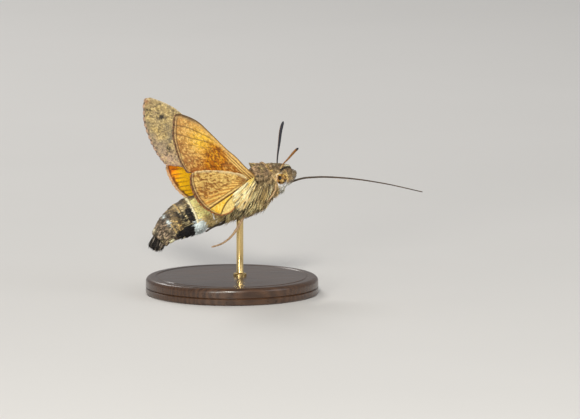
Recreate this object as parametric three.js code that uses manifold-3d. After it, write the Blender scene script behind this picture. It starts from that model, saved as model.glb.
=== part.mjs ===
// A hummingbird hawk moth, life size in millimetres, hovering with its wings raised on a small display stand.
// +X points from the tail to the head, +Y to the moth's left and +Z up.
// The origin is the middle of the stand's underside. The moth's middle plane is y = 0.
import * as THREE from "three";
import { mergeVertices } from "three/addons/utils/BufferGeometryUtils.js";
import Module from "manifold-3d";

const wasm = await Module();
wasm.setup();

// Driving dimensions
const GAP = 0.32; // left between neighbouring pieces
const FOREWING_LENGTH = 22.06; // from root to apex
const HINDWING_LENGTH = 13.35;
const WING_THICKNESS = 0.5;
const VEIN_RISE = 0.15; // of a vein's ridge above the membrane, on each face
const EYE_RADIUS = 0.92;
const PALP_RADIUS = 0.62;
const ANTENNA_RADIUS = 0.25;
const ANTENNA_CLUB_RADIUS = 0.29;
const PROBOSCIS_RADIUS = 0.3;
const LEG_RADIUS = 0.28;
const LEG_TIP_RADIUS = 0.16;
const TAIL_FAN_LENGTH = 3.2;
const BASE_RADIUS = 15;
const BASE_HEIGHT = 3;
const BASE_BEVEL = 0.8;
const ROD_RADIUS = 0.6;
const ROD_X = 1.4;
const BODY_SIDES = 26;

const COLOURS = {
  thorax: 0x8c7a5c,
  head: 0x85745a,
  palp: 0x9a8a70,
  eye: 0x3a2a18,
  proboscis: 0x2e2620,
  antenna: 0x4a3020,
  abdomen: 0x7d6f58,
  tail: 0x3b352c,
  forewing: 0x9a8f78,
  hindwing: 0xd98a2b,
  leg: 0xc09a70,
  base: 0x4b3424,
  rod: 0xb08d4c,
};

const vec = (x, y, z) => new THREE.Vector3(x, y, z);
const mirrored = (p, side) => vec(p.x, p.y * side, p.z);
const lerp = THREE.MathUtils.lerp;
const radians = THREE.MathUtils.degToRad;
const evenly = (count) => Array.from({ length: count + 1 }, (_, k) => k / count);
const smoothCurve = (points) => new THREE.CatmullRomCurve3(points, false, "centripetal");
const curveOf = (points) => smoothCurve(points.map(([x, y, z = 0]) => vec(x, y, z)));

// Solids: every piece is a closed triangle mesh that can be joined and cut.

function geometryOf(points, faces) {
  const made = new THREE.BufferGeometry();
  made.setAttribute("position", new THREE.Float32BufferAttribute(points.flatMap((p) => p.toArray()), 3));
  made.setIndex(faces);
  return made;
}

function solidOf(geometry) {
  const bare = geometry.clone();
  bare.deleteAttribute("normal");
  bare.deleteAttribute("uv");
  const merged = mergeVertices(bare, 1e-4);
  const triVerts = new Uint32Array(merged.index.array);
  const vertProperties = merged.attributes.position.array;
  const build = () => new wasm.Manifold(new wasm.Mesh({ numProp: 3, vertProperties, triVerts }));
  const solid = build();
  if (solid.volume() > 0) return solid;
  for (let i = 0; i < triVerts.length; i += 3) {
    [triVerts[i + 1], triVerts[i + 2]] = [triVerts[i + 2], triVerts[i + 1]];
  }
  return build();
}

function largestOf(solid) {
  const bodies = solid.decompose();
  return bodies.reduce((best, body) => (body.volume() > best.volume() ? body : best));
}

const union = (solids) => largestOf(wasm.Manifold.union(solids));
const cut = (solid, tools) => largestOf(tools.reduce((left, tool) => left.subtract(tool), solid));

// The same solid with every face moved outwards, which cuts a clear gap round it.
function grown(solid, gap = GAP) {
  const { vertProperties, triVerts } = solid.getMesh();
  const count = vertProperties.length / 3;
  const points = Array.from({ length: count }, (_, i) => vec().fromArray(vertProperties, 3 * i));
  const touching = points.map(() => []);
  for (let t = 0; t < triVerts.length; t += 3) {
    const [a, b, c] = [0, 1, 2].map((k) => points[triVerts[t + k]]);
    const area = b.clone().sub(a).cross(c.clone().sub(a));
    for (let k = 0; k < 3; k++) touching[triVerts[t + k]].push(area);
  }
  const moved = points.map((point, i) => {
    const normal = touching[i].reduce((sum, area) => sum.add(area), vec(0, 0, 0)).normalize();
    const leanest = Math.min(...touching[i].map((area) => normal.dot(area.clone().normalize())));
    return point.clone().addScaledVector(normal, gap / Math.max(0.45, leanest));
  });
  return solidOf(geometryOf(moved, [...triVerts]));
}

function meshOf(name, solid, colour, roughness = 0.8, metalness = 0) {
  const { vertProperties, triVerts } = solid.getMesh();
  const geometry = new THREE.BufferGeometry();
  geometry.setAttribute("position", new THREE.BufferAttribute(vertProperties, 3));
  geometry.setIndex(new THREE.BufferAttribute(triVerts, 1));
  geometry.computeVertexNormals();
  const material = new THREE.MeshStandardMaterial({ color: colour, roughness, metalness });
  const mesh = new THREE.Mesh(geometry, material);
  mesh.name = name;
  return mesh;
}

// A closed skin over rings of points, with a fan on each end.
function loft(rings) {
  const sides = rings[0].length;
  const middle = (ring) => ring.reduce((sum, p) => sum.add(p), vec(0, 0, 0)).divideScalar(sides);
  const points = [...rings.flat(), middle(rings[0]), middle(rings.at(-1))];
  const startMiddle = points.length - 2;
  const endMiddle = points.length - 1;
  const endRing = (rings.length - 1) * sides;
  const faces = [];
  for (let i = 0; i < sides; i++) {
    const j = (i + 1) % sides;
    for (let k = 0; k < endRing; k += sides) {
      faces.push(k + i, k + j, k + sides + j);
      faces.push(k + i, k + sides + j, k + sides + i);
    }
    faces.push(startMiddle, j, i);
    faces.push(endMiddle, endRing + i, endRing + j);
  }
  return solidOf(geometryOf(points, faces));
}

// A tube along a path. width and height give its half sizes across and along `upward` at each share.
function tube(path, upward, sides, steps, width, height = width) {
  const rings = evenly(steps).map((share) => {
    const centre = path.getPoint(share);
    const along = path.getTangent(share);
    const across = upward.clone().cross(along).normalize();
    const raised = along.clone().cross(across).normalize();
    return Array.from({ length: sides }, (_, i) => {
      const angle = (2 * Math.PI * i) / sides;
      const point = centre.clone().addScaledVector(across, Math.cos(angle) * width(share));
      return point.addScaledVector(raised, Math.sin(angle) * height(share));
    });
  });
  return loft(rings);
}

// A flat, tapered lock or vane from `root` along `along`, bending towards `bend` at its tip.
function lock(root, along, flat, length, width, thickness, bend) {
  const tip = root.clone().addScaledVector(along, length).add(bend);
  const control = root.clone().addScaledVector(along, length * 0.55);
  const path = new THREE.QuadraticBezierCurve3(root, control, tip);
  const taper = (share) => Math.sqrt(Math.max(0, 1 - share ** 3)) * 0.5;
  const least = 0.06;
  const half = (share) => Math.max(least, width * taper(share) * (0.7 + 0.3 * Math.sin(Math.PI * share)));
  return tube(path, flat, 6, 4, half, (share) => Math.max(least, thickness * taper(share)));
}

// Body: stations along the middle line, each [x, z, half height above, half height below, half width].

const HEAD_STATIONS = [
  [6.6, 19.5, 3.5, 1.9, 1.9],
  [7.75, 19.85, 3.15, 2.3, 2.05],
  [8.3, 20.0, 2.85, 2.5, 2.15],
  [8.9, 20.15, 2.65, 2.25, 2.15],
  [9.6, 20.3, 2.2, 1.85, 1.95],
  [10.2, 20.45, 1.65, 1.4, 1.5],
  [10.55, 20.5, 0.9, 0.8, 0.9],
];
const THORAX_STATIONS = [
  [-1.75, 15.75, 2.95, 2.85, 3.1],
  [-0.6, 16.25, 3.5, 3.15, 3.55],
  [1.0, 17.0, 3.85, 3.55, 3.95],
  [2.6, 17.7, 4.0, 3.65, 4.1],
  [4.2, 18.4, 4.3, 3.5, 3.9],
  [5.6, 19.0, 4.2, 3.05, 3.4],
  [6.7, 19.4, 3.8, 2.5, 2.8],
  [7.25, 19.6, 3.45, 2.2, 2.35],
];
const ABDOMEN_STATIONS = [
  [-12.95, 9.9, 1.35, 1.3, 1.75],
  [-12.3, 10.65, 1.95, 1.7, 2.35],
  [-11.1, 11.7, 2.55, 2.25, 2.85],
  [-9.6, 12.65, 3.0, 2.75, 3.25],
  [-7.4, 13.7, 3.3, 3.05, 3.5],
  [-5.0, 14.6, 3.3, 3.1, 3.5],
  [-3.3, 15.15, 3.15, 3.0, 3.35],
  [-2.05, 15.6, 2.9, 2.85, 3.05],
  [-1.4, 15.85, 2.7, 2.7, 2.85],
];
const ABDOMEN_SEGMENTS = 7;
const SEGMENT_FLARE = 0.13; // how far a segment's rear edge stands over the next one

// The middle line and its half sizes at a share of the way through the stations.
function bodySection(stations, share) {
  const line = curveOf(stations.map(([x, z]) => [x, 0, z]));
  const sizes = curveOf(stations.map(([, , above, below, side]) => [above, below, side]));
  const size = sizes.getPoint(share);
  const [centre, along] = [line.getPoint(share), line.getTangent(share)];
  return { centre, along, above: size.x, below: size.y, side: size.z };
}

// A point on the body's surface at an angle from the moth's left (0) over the back (90 degrees).
function bodyPoint(stations, share, angle, grow = 0) {
  const { centre, along, above, below, side } = bodySection(stations, share);
  const back = vec(-along.z, 0, along.x);
  const rise = Math.sin(angle);
  const height = (rise > 0 ? above : below) + grow;
  return centre.addScaledVector(back, rise * height).add(vec(0, Math.cos(angle) * (side + grow), 0));
}

function bodySolid(stations, shares, flareAt = () => 0) {
  const angles = evenly(BODY_SIDES).slice(1).map((turn) => 2 * Math.PI * turn);
  return loft(shares.map((share, k) => angles.map((angle) => bodyPoint(stations, share, angle, flareAt(k)))));
}

// Each abdominal segment widens to its rear edge, then steps in under the one before it.
function abdomenSolid() {
  const step = 0.012;
  const shares = [0];
  const flares = [0];
  for (let s = 0; s < ABDOMEN_SEGMENTS; s++) {
    const rear = s / ABDOMEN_SEGMENTS;
    if (s > 0) {
      shares.push(rear - step, rear + step);
      flares.push(-SEGMENT_FLARE * 0.4, SEGMENT_FLARE);
    }
    shares.push((s + 0.5) / ABDOMEN_SEGMENTS);
    flares.push(SEGMENT_FLARE * 0.3);
  }
  shares.push(1);
  flares.push(0);
  return bodySolid(ABDOMEN_STATIONS, shares, (k) => flares[k]);
}

// Wings: outlines in the wing's own plane, [along the span, towards the rear edge], as shares of its length.

const FOREWING = {
  root: [[-0.04, -0.016], [-0.02, 0.03]],
  leading: [[-0.04, -0.016], [0.13, -0.02], [0.26, -0.037], [0.38, -0.041], [0.52, -0.055], [0.62, -0.065],
    [0.78, -0.074], [0.86, -0.062], [0.925, -0.045], [0.97, -0.03], [1, 0]],
  outer: [[1, 0], [0.985, 0.041], [0.956, 0.079], [0.888, 0.155], [0.807, 0.211], [0.682, 0.277],
    [0.558, 0.316]],
  rear: [[-0.02, 0.03], [0.113, 0.086], [0.27, 0.163], [0.45, 0.256], [0.558, 0.316]],
};
const HINDWING = {
  root: [[-0.04, 0.0], [-0.01, 0.1]],
  leading: [[-0.04, 0.0], [0.06, -0.03], [0.15, -0.075], [0.25, -0.096], [0.36, -0.103], [0.6, -0.098],
    [0.87, -0.071], [0.96, -0.045], [1, 0]],
  outer: [[1, 0], [0.989, 0.067], [0.966, 0.131], [0.899, 0.228], [0.809, 0.322], [0.704, 0.39],
    [0.614, 0.43], [0.502, 0.464], [0.404, 0.476]],
  rear: [[-0.01, 0.1], [0.12, 0.23], [0.2, 0.34], [0.28, 0.427], [0.404, 0.476]],
};

// How each wing stands, on the moth's left: its root, how far it rises behind it and spreads from the middle
// plane in degrees, how far it bows, and how far its root tucks in under the shoulder.
const FOREWING_POSE = { root: vec(3.3, 3.0, 20.7), rise: 37.4, spread: 22.55, camber: 0.35, tuck: 0.3 };
const HINDWING_POSE = { root: vec(2.8, 4.45, 19.95), rise: 10.2, spread: 20.2, camber: 0.25, tuck: 1.35 };
const CHORDS = { left: 1.03, right: 0.945 }; // the right wing flexes a little more

function heading(rise, spread) {
  const level = Math.cos(radians(spread));
  return vec(-Math.cos(radians(rise)) * level, Math.sin(radians(spread)), Math.sin(radians(rise)) * level);
}

// A wing is a patch between its four edges. Its lines from root to margin carry the veins.
function wingSolid(outline, pose, length, chord, side, spanSteps, chordSteps) {
  const entries = Object.entries(outline).map(([name, points]) => [name, curveOf(points)]);
  const edges = Object.fromEntries(entries);
  const spanward = heading(pose.rise, pose.spread);
  const rearward = heading(pose.rise - 90, 0);
  const outward = spanward.clone().cross(rearward).normalize();
  outward.multiplyScalar(Math.sign(outward.y));

  function planPoint(u, v) {
    const between = edges.leading.getPointAt(u).lerp(edges.rear.getPointAt(u), v);
    between.add(edges.root.getPointAt(v).lerp(edges.outer.getPointAt(v), u));
    between.addScaledVector(edges.leading.getPointAt(0), -(1 - u) * (1 - v));
    between.addScaledVector(edges.rear.getPointAt(0), -(1 - u) * v);
    between.addScaledVector(edges.leading.getPointAt(1), -u * (1 - v));
    between.addScaledVector(edges.rear.getPointAt(1), -u * v);
    return between;
  }

  function veinRise(u, column) {
    if (column % 2 === 1) return 0;
    const edge = column === 0 || column === chordSteps;
    return VEIN_RISE * (edge ? 0.6 : 1) * Math.min(1, (1 - u) * 8 + 0.25);
  }

  function surfacePoint(row, column, face) {
    const u = row / spanSteps;
    const flat = planPoint(u, column / chordSteps);
    const bow = pose.camber * Math.sin(Math.PI * THREE.MathUtils.clamp(flat.x, 0, 1));
    const tuck = pose.tuck * Math.max(0, 1 - flat.x / 0.26) ** 2;
    const rim = row === spanSteps ? 0.5 : 1;
    const half = (WING_THICKNESS / 2) * rim + veinRise(u, column);
    const point = pose.root.clone().addScaledVector(spanward, flat.x * length);
    point.addScaledVector(rearward, flat.y * length * chord);
    return mirrored(point.addScaledVector(outward, face * half - bow - tuck), side);
  }

  const columns = chordSteps + 1;
  const sheet = (spanSteps + 1) * columns;
  const points = [];
  for (const face of [1, -1]) {
    for (let r = 0; r <= spanSteps; r++) {
      for (let c = 0; c <= chordSteps; c++) points.push(surfacePoint(r, c, face));
    }
  }
  const faces = [];
  const square = (a, b, c, d) => faces.push(a, b, c, a, c, d);
  for (let r = 0; r < spanSteps; r++) {
    for (let c = 0; c < chordSteps; c++) {
      const near = r * columns + c;
      const far = near + columns;
      square(near, far, far + 1, near + 1);
      faces.push(sheet + near, sheet + far + 1, sheet + far);
      faces.push(sheet + near, sheet + near + 1, sheet + far + 1);
    }
  }
  for (let r = 0; r < spanSteps; r++) {
    const front = r * columns;
    const rear = front + chordSteps;
    square(front, sheet + front, sheet + front + columns, front + columns);
    square(rear + columns, sheet + rear + columns, sheet + rear, rear);
  }
  for (let c = 0; c < chordSteps; c++) {
    const tip = spanSteps * columns + c;
    square(c + 1, sheet + c + 1, sheet + c, c);
    square(tip, sheet + tip, sheet + tip + 1, tip + 1);
  }
  return solidOf(geometryOf(points, faces));
}

// Thorax with its shoulder flaps, which lie over the wing roots.

const SHOULDERS = {
  left: { front: vec(5.5, 2.4, 21.1), rear: vec(3.0, 2.9, 21.0) },
  right: { front: vec(5.6, -2.0, 21.8), rear: vec(2.85, -2.6, 22.05) }, // pushed up by its wing
};
const SHOULDER_WIDTH = 3.2;
const SHOULDER_THICKNESS = 0.8;

function shoulderFlap({ front, rear }) {
  const outward = vec(0.15, Math.sign(rear.y) * 0.75, 0.65).normalize();
  const control = front.clone().lerp(rear, 0.5).addScaledVector(outward, 0.4);
  const path = new THREE.QuadraticBezierCurve3(front, control, rear);
  const half = (share) => (SHOULDER_WIDTH / 2) * (1 - 0.1 * share ** 4);
  return tube(path, outward, 12, 8, half, (share) => (SHOULDER_THICKNESS / 2) * (1 - 0.45 * share));
}

const thoraxCore = bodySolid(THORAX_STATIONS, evenly(14));
const thoraxRoom = grown(thoraxCore);
const headBlank = bodySolid(HEAD_STATIONS, evenly(12));
const headRoom = grown(headBlank);
const abdomenRoom = grown(bodySolid(ABDOMEN_STATIONS, evenly(16), () => SEGMENT_FLARE));

// Legs: five are folded and lie half sunk in grooves in the coat, as [share along the stations, degrees from
// straight down, distance off the coat]. The right middle leg hangs, along a path of its own [x, y, z].
const FRONT_LEG = [[0.94, 64, -0.05], [0.87, 60, 0.12], [0.78, 56, 0.15], [0.66, 50, 0.15], [0.56, 44, 0.15],
  [0.47, 40, 0.25]];
const MIDDLE_LEG = [[0.48, 64, 0.05], [0.4, 62, 0.15], [0.28, 58, 0.15], [0.16, 54, 0.15], [0.06, 52, 0.3]];
const REAR_LEG = [[0.9, 26, 0.1], [0.85, 26, 0.15], [0.77, 26, 0.15], [0.67, 26, 0.15], [0.56, 26, 0.3]];
const HANGING_LEG = [[2.1, -1.7, 14.4], [1.1, -1.75, 12.6], [0.3, -1.8, 11.3], [-0.8, -1.8, 9.99],
  [-2.24, -1.85, 9.04], [-4.14, -1.95, 8.5]];

const legRadius = (share) => lerp(LEG_RADIUS, LEG_TIP_RADIUS, Math.max(0, (share - 0.45) / 0.55));
const legTube = (path) => tube(path, vec(0, 1, 0), 7, 14, legRadius);

function legAlong(stations, steps, side) {
  const angleOf = (turn) => side * radians(turn) - Math.PI / 2;
  const points = steps.map(([share, turn, off]) => bodyPoint(stations, share, angleOf(turn), off));
  return legTube(smoothCurve(points));
}

const foldedLegs = {
  leg_front_left: legAlong(THORAX_STATIONS, FRONT_LEG, 1),
  leg_front_right: legAlong(THORAX_STATIONS, FRONT_LEG, -1),
  leg_middle_left: legAlong(THORAX_STATIONS, MIDDLE_LEG, 1),
  leg_rear_left: legAlong(ABDOMEN_STATIONS, REAR_LEG, 1),
  leg_rear_right: legAlong(ABDOMEN_STATIONS, REAR_LEG, -1),
};
const grooves = Object.values(foldedLegs).map((leg) => grown(leg));
const hangingLeg = cut(legTube(curveOf(HANGING_LEG)), [thoraxRoom]);

// Head: two round eyes in sockets, two blunt upturned palps, a long tongue and two clubbed antennae.

const EYE_CENTRE = vec(8.4, 1.68, 20.0);

function ball(centre, radius) {
  const sphere = new THREE.SphereGeometry(radius, 18, 12);
  sphere.translate(...centre.toArray());
  return solidOf(sphere);
}

const PALP_PATH = [[9.3, 0.85, 18.75], [10.0, 0.88, 19.4], [10.6, 0.84, 20.25], [11.0, 0.72, 21.55]];

function palp(side) {
  const path = curveOf(PALP_PATH.map(([x, y, z]) => [x, y * side, z]));
  const size = (share) => PALP_RADIUS * Math.sqrt(Math.max(0.03, 1 - Math.abs(2 * share - 1) ** 3.2));
  return tube(path, vec(-0.6, 0, 0.8), 12, 8, size, (share) => size(share) * 1.35);
}

const PROBOSCIS_PATH = [[9.9, 0, 18.9], [11.0, 0, 19.3], [12.5, 0, 19.7], [15, 0, 19.85], [20, 0, 19.55],
  [27, 0, 18.4], [34.3, 0, 16.6]];
const proboscisRadius = (share) => PROBOSCIS_RADIUS * (1 - 0.2 * share);
const proboscis = tube(curveOf(PROBOSCIS_PATH), vec(0, 1, 0), 8, 28, proboscisRadius);

const ANTENNA_PATHS = {
  left: [[8.35, 1.05, 21.2], [8.45, 1.5, 22.6], [8.95, 2.1, 25.6], [9.6, 2.8, 28.6], [9.95, 3.05, 29.45]],
  right: [[8.2, -1.05, 21.2], [8.55, -1.75, 22.35], [9.2, -3.4, 23.7], [9.95, -5.9, 25.5], [10.15, -6.9, 26]],
};

function antenna(points) {
  const radius = (share) => {
    const club = THREE.MathUtils.smoothstep(share, 0.25, 0.8);
    const tip = Math.sqrt(Math.max(0.06, 1 - Math.max(0, (share - 0.9) / 0.1) ** 2));
    return lerp(ANTENNA_RADIUS, ANTENNA_CLUB_RADIUS, club) * tip;
  };
  return tube(curveOf(points), vec(1, 0, 0), 8, 16, radius);
}

// Tail: a fan of overlapping vanes in three tiers round a short core.
const TAIL_ROOT = vec(-12.7, 0, 10.35);
const TAIL_DIRECTION = vec(-0.45, 0, -0.89).normalize();
const TAIL_TIERS = [
  { count: 7, lift: 0.42, spread: 0.62, length: 0.86 },
  { count: 8, lift: 0, spread: 0.75, length: 1 },
  { count: 7, lift: -0.42, spread: 0.55, length: 0.78 },
];

function tailFan() {
  const back = vec(TAIL_DIRECTION.z, 0, -TAIL_DIRECTION.x);
  const coreEnd = TAIL_ROOT.clone().addScaledVector(TAIL_DIRECTION, TAIL_FAN_LENGTH * 0.4);
  const core = new THREE.LineCurve3(TAIL_ROOT, coreEnd);
  const [coreWidth, coreHeight] = [(share) => lerp(1.25, 0.8, share), (share) => lerp(0.85, 0.4, share)];
  const pieces = [tube(core, back, 12, 3, coreWidth, coreHeight)];
  for (const { count, lift, spread, length } of TAIL_TIERS) {
    for (let i = 0; i < count; i++) {
      const turn = ((i + 0.5) / count - 0.5) * 2;
      const root = TAIL_ROOT.clone().addScaledVector(TAIL_DIRECTION, 0.25);
      root.addScaledVector(back, lift * 0.9).add(vec(0, turn * 0.85, 0));
      const along = TAIL_DIRECTION.clone().add(vec(0, turn * spread, 0)).addScaledVector(back, lift * 0.25);
      const uneven = (1 - 0.16 * turn * turn) * (1 + 0.05 * Math.sin(7.3 * i + count + lift));
      const bend = back.clone().multiplyScalar(0.25 * lift);
      pieces.push(lock(root, along.normalize(), back, TAIL_FAN_LENGTH * length * uneven, 1.05, 0.5, bend));
    }
  }
  return union(pieces);
}

// Tufts of long scales low on each side of the abdomen, as [share along it, length, locks].
const SIDE_TUFTS = [
  { share: 0.77, length: 2.1, locks: 3 },
  { share: 0.59, length: 2.5, locks: 4 },
  { share: 0.42, length: 2.2, locks: 4 },
  { share: 0.27, length: 1.9, locks: 3 },
];
const TUFT_LOWEST = -1.0; // radians below the side
const TUFT_RANGE = 0.75;

function sideTufts(side) {
  return SIDE_TUFTS.flatMap(({ share, length, locks }) =>
    Array.from({ length: locks }, (_, i) => {
      const angle = TUFT_LOWEST + (TUFT_RANGE * i) / locks;
      const turn = side > 0 ? angle : Math.PI - angle;
      const root = bodyPoint(ABDOMEN_STATIONS, share + 0.012 * (i % 2), turn, -0.3);
      const { along, centre } = bodySection(ABDOMEN_STATIONS, share);
      const outward = root.clone().sub(centre).normalize();
      const lie = along.clone().negate().addScaledVector(outward, 0.45).normalize();
      return lock(root, lie, outward, length, 0.95, 0.5, outward.clone().multiplyScalar(-0.35));
    }),
  );
}

// Stand: a round base with a bevelled edge, and one rod up to the underside of the thorax.
function standBase() {
  const profile = [[0, 0], [BASE_RADIUS, 0], [BASE_RADIUS, BASE_HEIGHT - BASE_BEVEL],
    [BASE_RADIUS - BASE_BEVEL, BASE_HEIGHT], [0, BASE_HEIGHT]];
  const turned = new THREE.LatheGeometry(profile.map(([r, h]) => new THREE.Vector2(r, h)), 64);
  return solidOf(turned.rotateX(Math.PI / 2));
}

function standRod() {
  const path = new THREE.LineCurve3(vec(ROD_X, 0, BASE_HEIGHT + GAP), vec(ROD_X, 0, 15));
  return tube(path, vec(0, 1, 0), 20, 1, () => ROD_RADIUS);
}

const moth = new THREE.Group();
const shoulderFlaps = { left: shoulderFlap(SHOULDERS.left), right: shoulderFlap(SHOULDERS.right) };
const thorax = cut(union([thoraxCore, shoulderFlaps.left, shoulderFlaps.right]), grooves);
const eyeRooms = [1, -1].map((side) => ball(mirrored(EYE_CENTRE, side), EYE_RADIUS + GAP));
const head = cut(headBlank, [thoraxRoom, ...eyeRooms, ...grooves]);
const abdomen = cut(union([abdomenSolid(), ...sideTufts(1), ...sideTufts(-1)]), [thoraxRoom, ...grooves]);

moth.add(meshOf("head", head, COLOURS.head, 0.9));
moth.add(meshOf("thorax", thorax, COLOURS.thorax, 0.95));
moth.add(meshOf("abdomen", abdomen, COLOURS.abdomen, 0.9));
moth.add(meshOf("tail_fan", cut(tailFan(), [abdomenRoom]), COLOURS.tail, 0.9));
moth.add(meshOf("proboscis", cut(proboscis, [headRoom]), COLOURS.proboscis, 0.5));

for (const [label, side] of [["left", 1], ["right", -1]]) {
  moth.add(meshOf(`eye_${label}`, ball(mirrored(EYE_CENTRE, side), EYE_RADIUS), COLOURS.eye, 0.25));
  moth.add(meshOf(`palp_${label}`, cut(palp(side), [headRoom, grown(proboscis)]), COLOURS.palp, 0.9));
  moth.add(meshOf(`antenna_${label}`, cut(antenna(ANTENNA_PATHS[label]), [headRoom]), COLOURS.antenna, 0.6));
  const shoulderRooms = [thoraxRoom, grown(shoulderFlaps[label])];
  const forewing = wingSolid(FOREWING, FOREWING_POSE, FOREWING_LENGTH, CHORDS[label], side, 18, 14);
  const hindwing = wingSolid(HINDWING, HINDWING_POSE, HINDWING_LENGTH, 1, side, 12, 12);
  moth.add(meshOf(`forewing_${label}`, cut(forewing, shoulderRooms), COLOURS.forewing, 0.75));
  const hindwingRooms = [...shoulderRooms, grown(forewing)];
  moth.add(meshOf(`hindwing_${label}`, cut(hindwing, hindwingRooms), COLOURS.hindwing, 0.75));
}

for (const [name, leg] of Object.entries({ ...foldedLegs, leg_middle_right: hangingLeg })) {
  moth.add(meshOf(name, leg, COLOURS.leg, 0.6));
}

moth.add(meshOf("stand_base", standBase(), COLOURS.base, 0.45));
moth.add(meshOf("stand_rod", cut(standRod(), [thoraxRoom]), COLOURS.rod, 0.3, 1));

export default moth;
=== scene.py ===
import math
import bpy
import numpy as np
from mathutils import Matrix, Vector


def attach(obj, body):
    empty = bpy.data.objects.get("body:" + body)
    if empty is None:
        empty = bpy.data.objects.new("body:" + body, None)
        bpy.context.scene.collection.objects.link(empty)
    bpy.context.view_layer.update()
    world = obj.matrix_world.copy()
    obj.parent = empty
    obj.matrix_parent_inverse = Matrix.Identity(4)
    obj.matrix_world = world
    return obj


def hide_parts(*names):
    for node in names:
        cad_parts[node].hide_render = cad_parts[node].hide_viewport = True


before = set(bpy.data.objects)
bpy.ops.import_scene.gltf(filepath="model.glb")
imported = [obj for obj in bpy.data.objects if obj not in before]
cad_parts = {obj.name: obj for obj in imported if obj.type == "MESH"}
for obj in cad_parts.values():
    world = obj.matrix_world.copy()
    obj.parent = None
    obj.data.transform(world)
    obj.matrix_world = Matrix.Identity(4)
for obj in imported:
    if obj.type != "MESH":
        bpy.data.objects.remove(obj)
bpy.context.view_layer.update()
mm = 0.001  # shapes are worked out in millimetres and scaled once, when a mesh is filled
sides = {"left": 1, "right": -1}
flip = {"left": np.array([1, 1, 1]), "right": np.array([1, -1, 1])}

# Small tools for arrays


# Eased ramp from 0 at low to 1 at high
def ramp(low, high, value):
    share = np.clip((value - low) / (high - low), 0, 1)
    return share * share * (3 - 2 * share)


# Eased fall from 1 at low to 0 at high
def fall(low, high, value):
    return 1 - ramp(low, high, value)


# Bell that is 1 at centre and falls off over width
def bell(value, centre, width):
    return np.exp(-(((value - centre) / width) ** 2))


# Mixes two colours, or two rows of colours, by a share for each row
def mix(first, second, share):
    share = np.asarray(share, float)[..., None]
    return np.asarray(first, float) * (1 - share) + np.asarray(second, float) * share


# Paints colours over a base one after another, each by its own share
def paint(tint, *layers):
    for colour, share in layers:
        tint = mix(tint, colour, share)
    return tint


def unit(vectors):
    return vectors / np.maximum(np.linalg.norm(vectors, axis=-1, keepdims=True), 1e-9)


# Angles of a closed ring
def circle(count):
    return np.linspace(0, 2 * math.pi, count, endpoint=False)


# Points moved to the moth's left side, for shapes that are the same on both sides
def onLeft(points):
    return points * [1, 0, 1] + np.abs(points) * [0, 1, 0]


# Soft random field: random values on a lattice of the given cell size, eased between its eight corners
def cloud(points, size, seed):
    place = np.asarray(points, float) / size
    cell = np.floor(place)
    part = place - cell
    part = part * part * (3 - 2 * part)
    total = np.zeros(place.shape[:-1])
    for corner in np.ndindex(2, 2, 2):
        corner = np.array(corner)
        lattice = np.sin((cell + corner) @ np.array([127.1, 311.7, 74.7]) + seed * 17.31) * 43758.5453
        weight = np.prod(np.where(corner == 1, part, 1 - part), axis=-1)
        total += weight * (lattice - np.floor(lattice))
    return total


# Soft field with a finer one on top, for speckles without a pattern
def grain(points, size, seed):
    return 0.58 * cloud(points, size, seed) + 0.42 * cloud(points, size * 0.47, seed + 0.5)


# Cubic through the knots, its slope at each knot taken from its neighbours
def through(keys, values, at):
    keys = np.asarray(keys, float)
    values = np.asarray(values, float)
    at = np.asarray(at, float)
    slopes = np.gradient(values, keys, axis=0)
    i = np.clip(np.searchsorted(keys, at, "right") - 1, 0, len(keys) - 2)
    gap = keys[i + 1] - keys[i]
    t = np.clip((at - keys[i]) / gap, 0, 1)
    if values.ndim > 1:
        gap = gap[..., None]
        t = t[..., None]
    start = values[i] * (1 + 2 * t) * (1 - t) ** 2 + slopes[i] * gap * t * (1 - t) ** 2
    return start + values[i + 1] * t * t * (3 - 2 * t) + slopes[i + 1] * gap * t * t * (t - 1)


# Points and directions along a smooth path at shares of its length
def pathAt(knots, shares):
    knots = np.asarray(knots, float)
    steps = np.concatenate([[0], np.cumsum(np.linalg.norm(np.diff(knots, axis=0), axis=1))])
    length = steps[-1]
    at = np.asarray(shares) * length
    step = length * 0.004
    ahead = through(steps, knots, np.minimum(at + step, length))
    behind = through(steps, knots, np.maximum(at - step, 0))
    return through(steps, knots, at), unit(ahead - behind)


# Meshes


# Quads of a grid of rows and columns, the columns closed into a ring where asked
def gridFaces(rows, columns, ring=True):
    across = columns if ring else columns - 1
    r, c = np.meshgrid(np.arange(rows - 1), np.arange(across), indexing="ij")
    near = (r * columns + c).ravel()
    side = (r * columns + (c + 1) % columns).ravel()
    return np.stack([near, side, side + columns, near + columns], 1)


def addObject(name, data):
    made = bpy.data.objects.new(name, data)
    bpy.context.scene.collection.objects.link(made)
    return made


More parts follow.
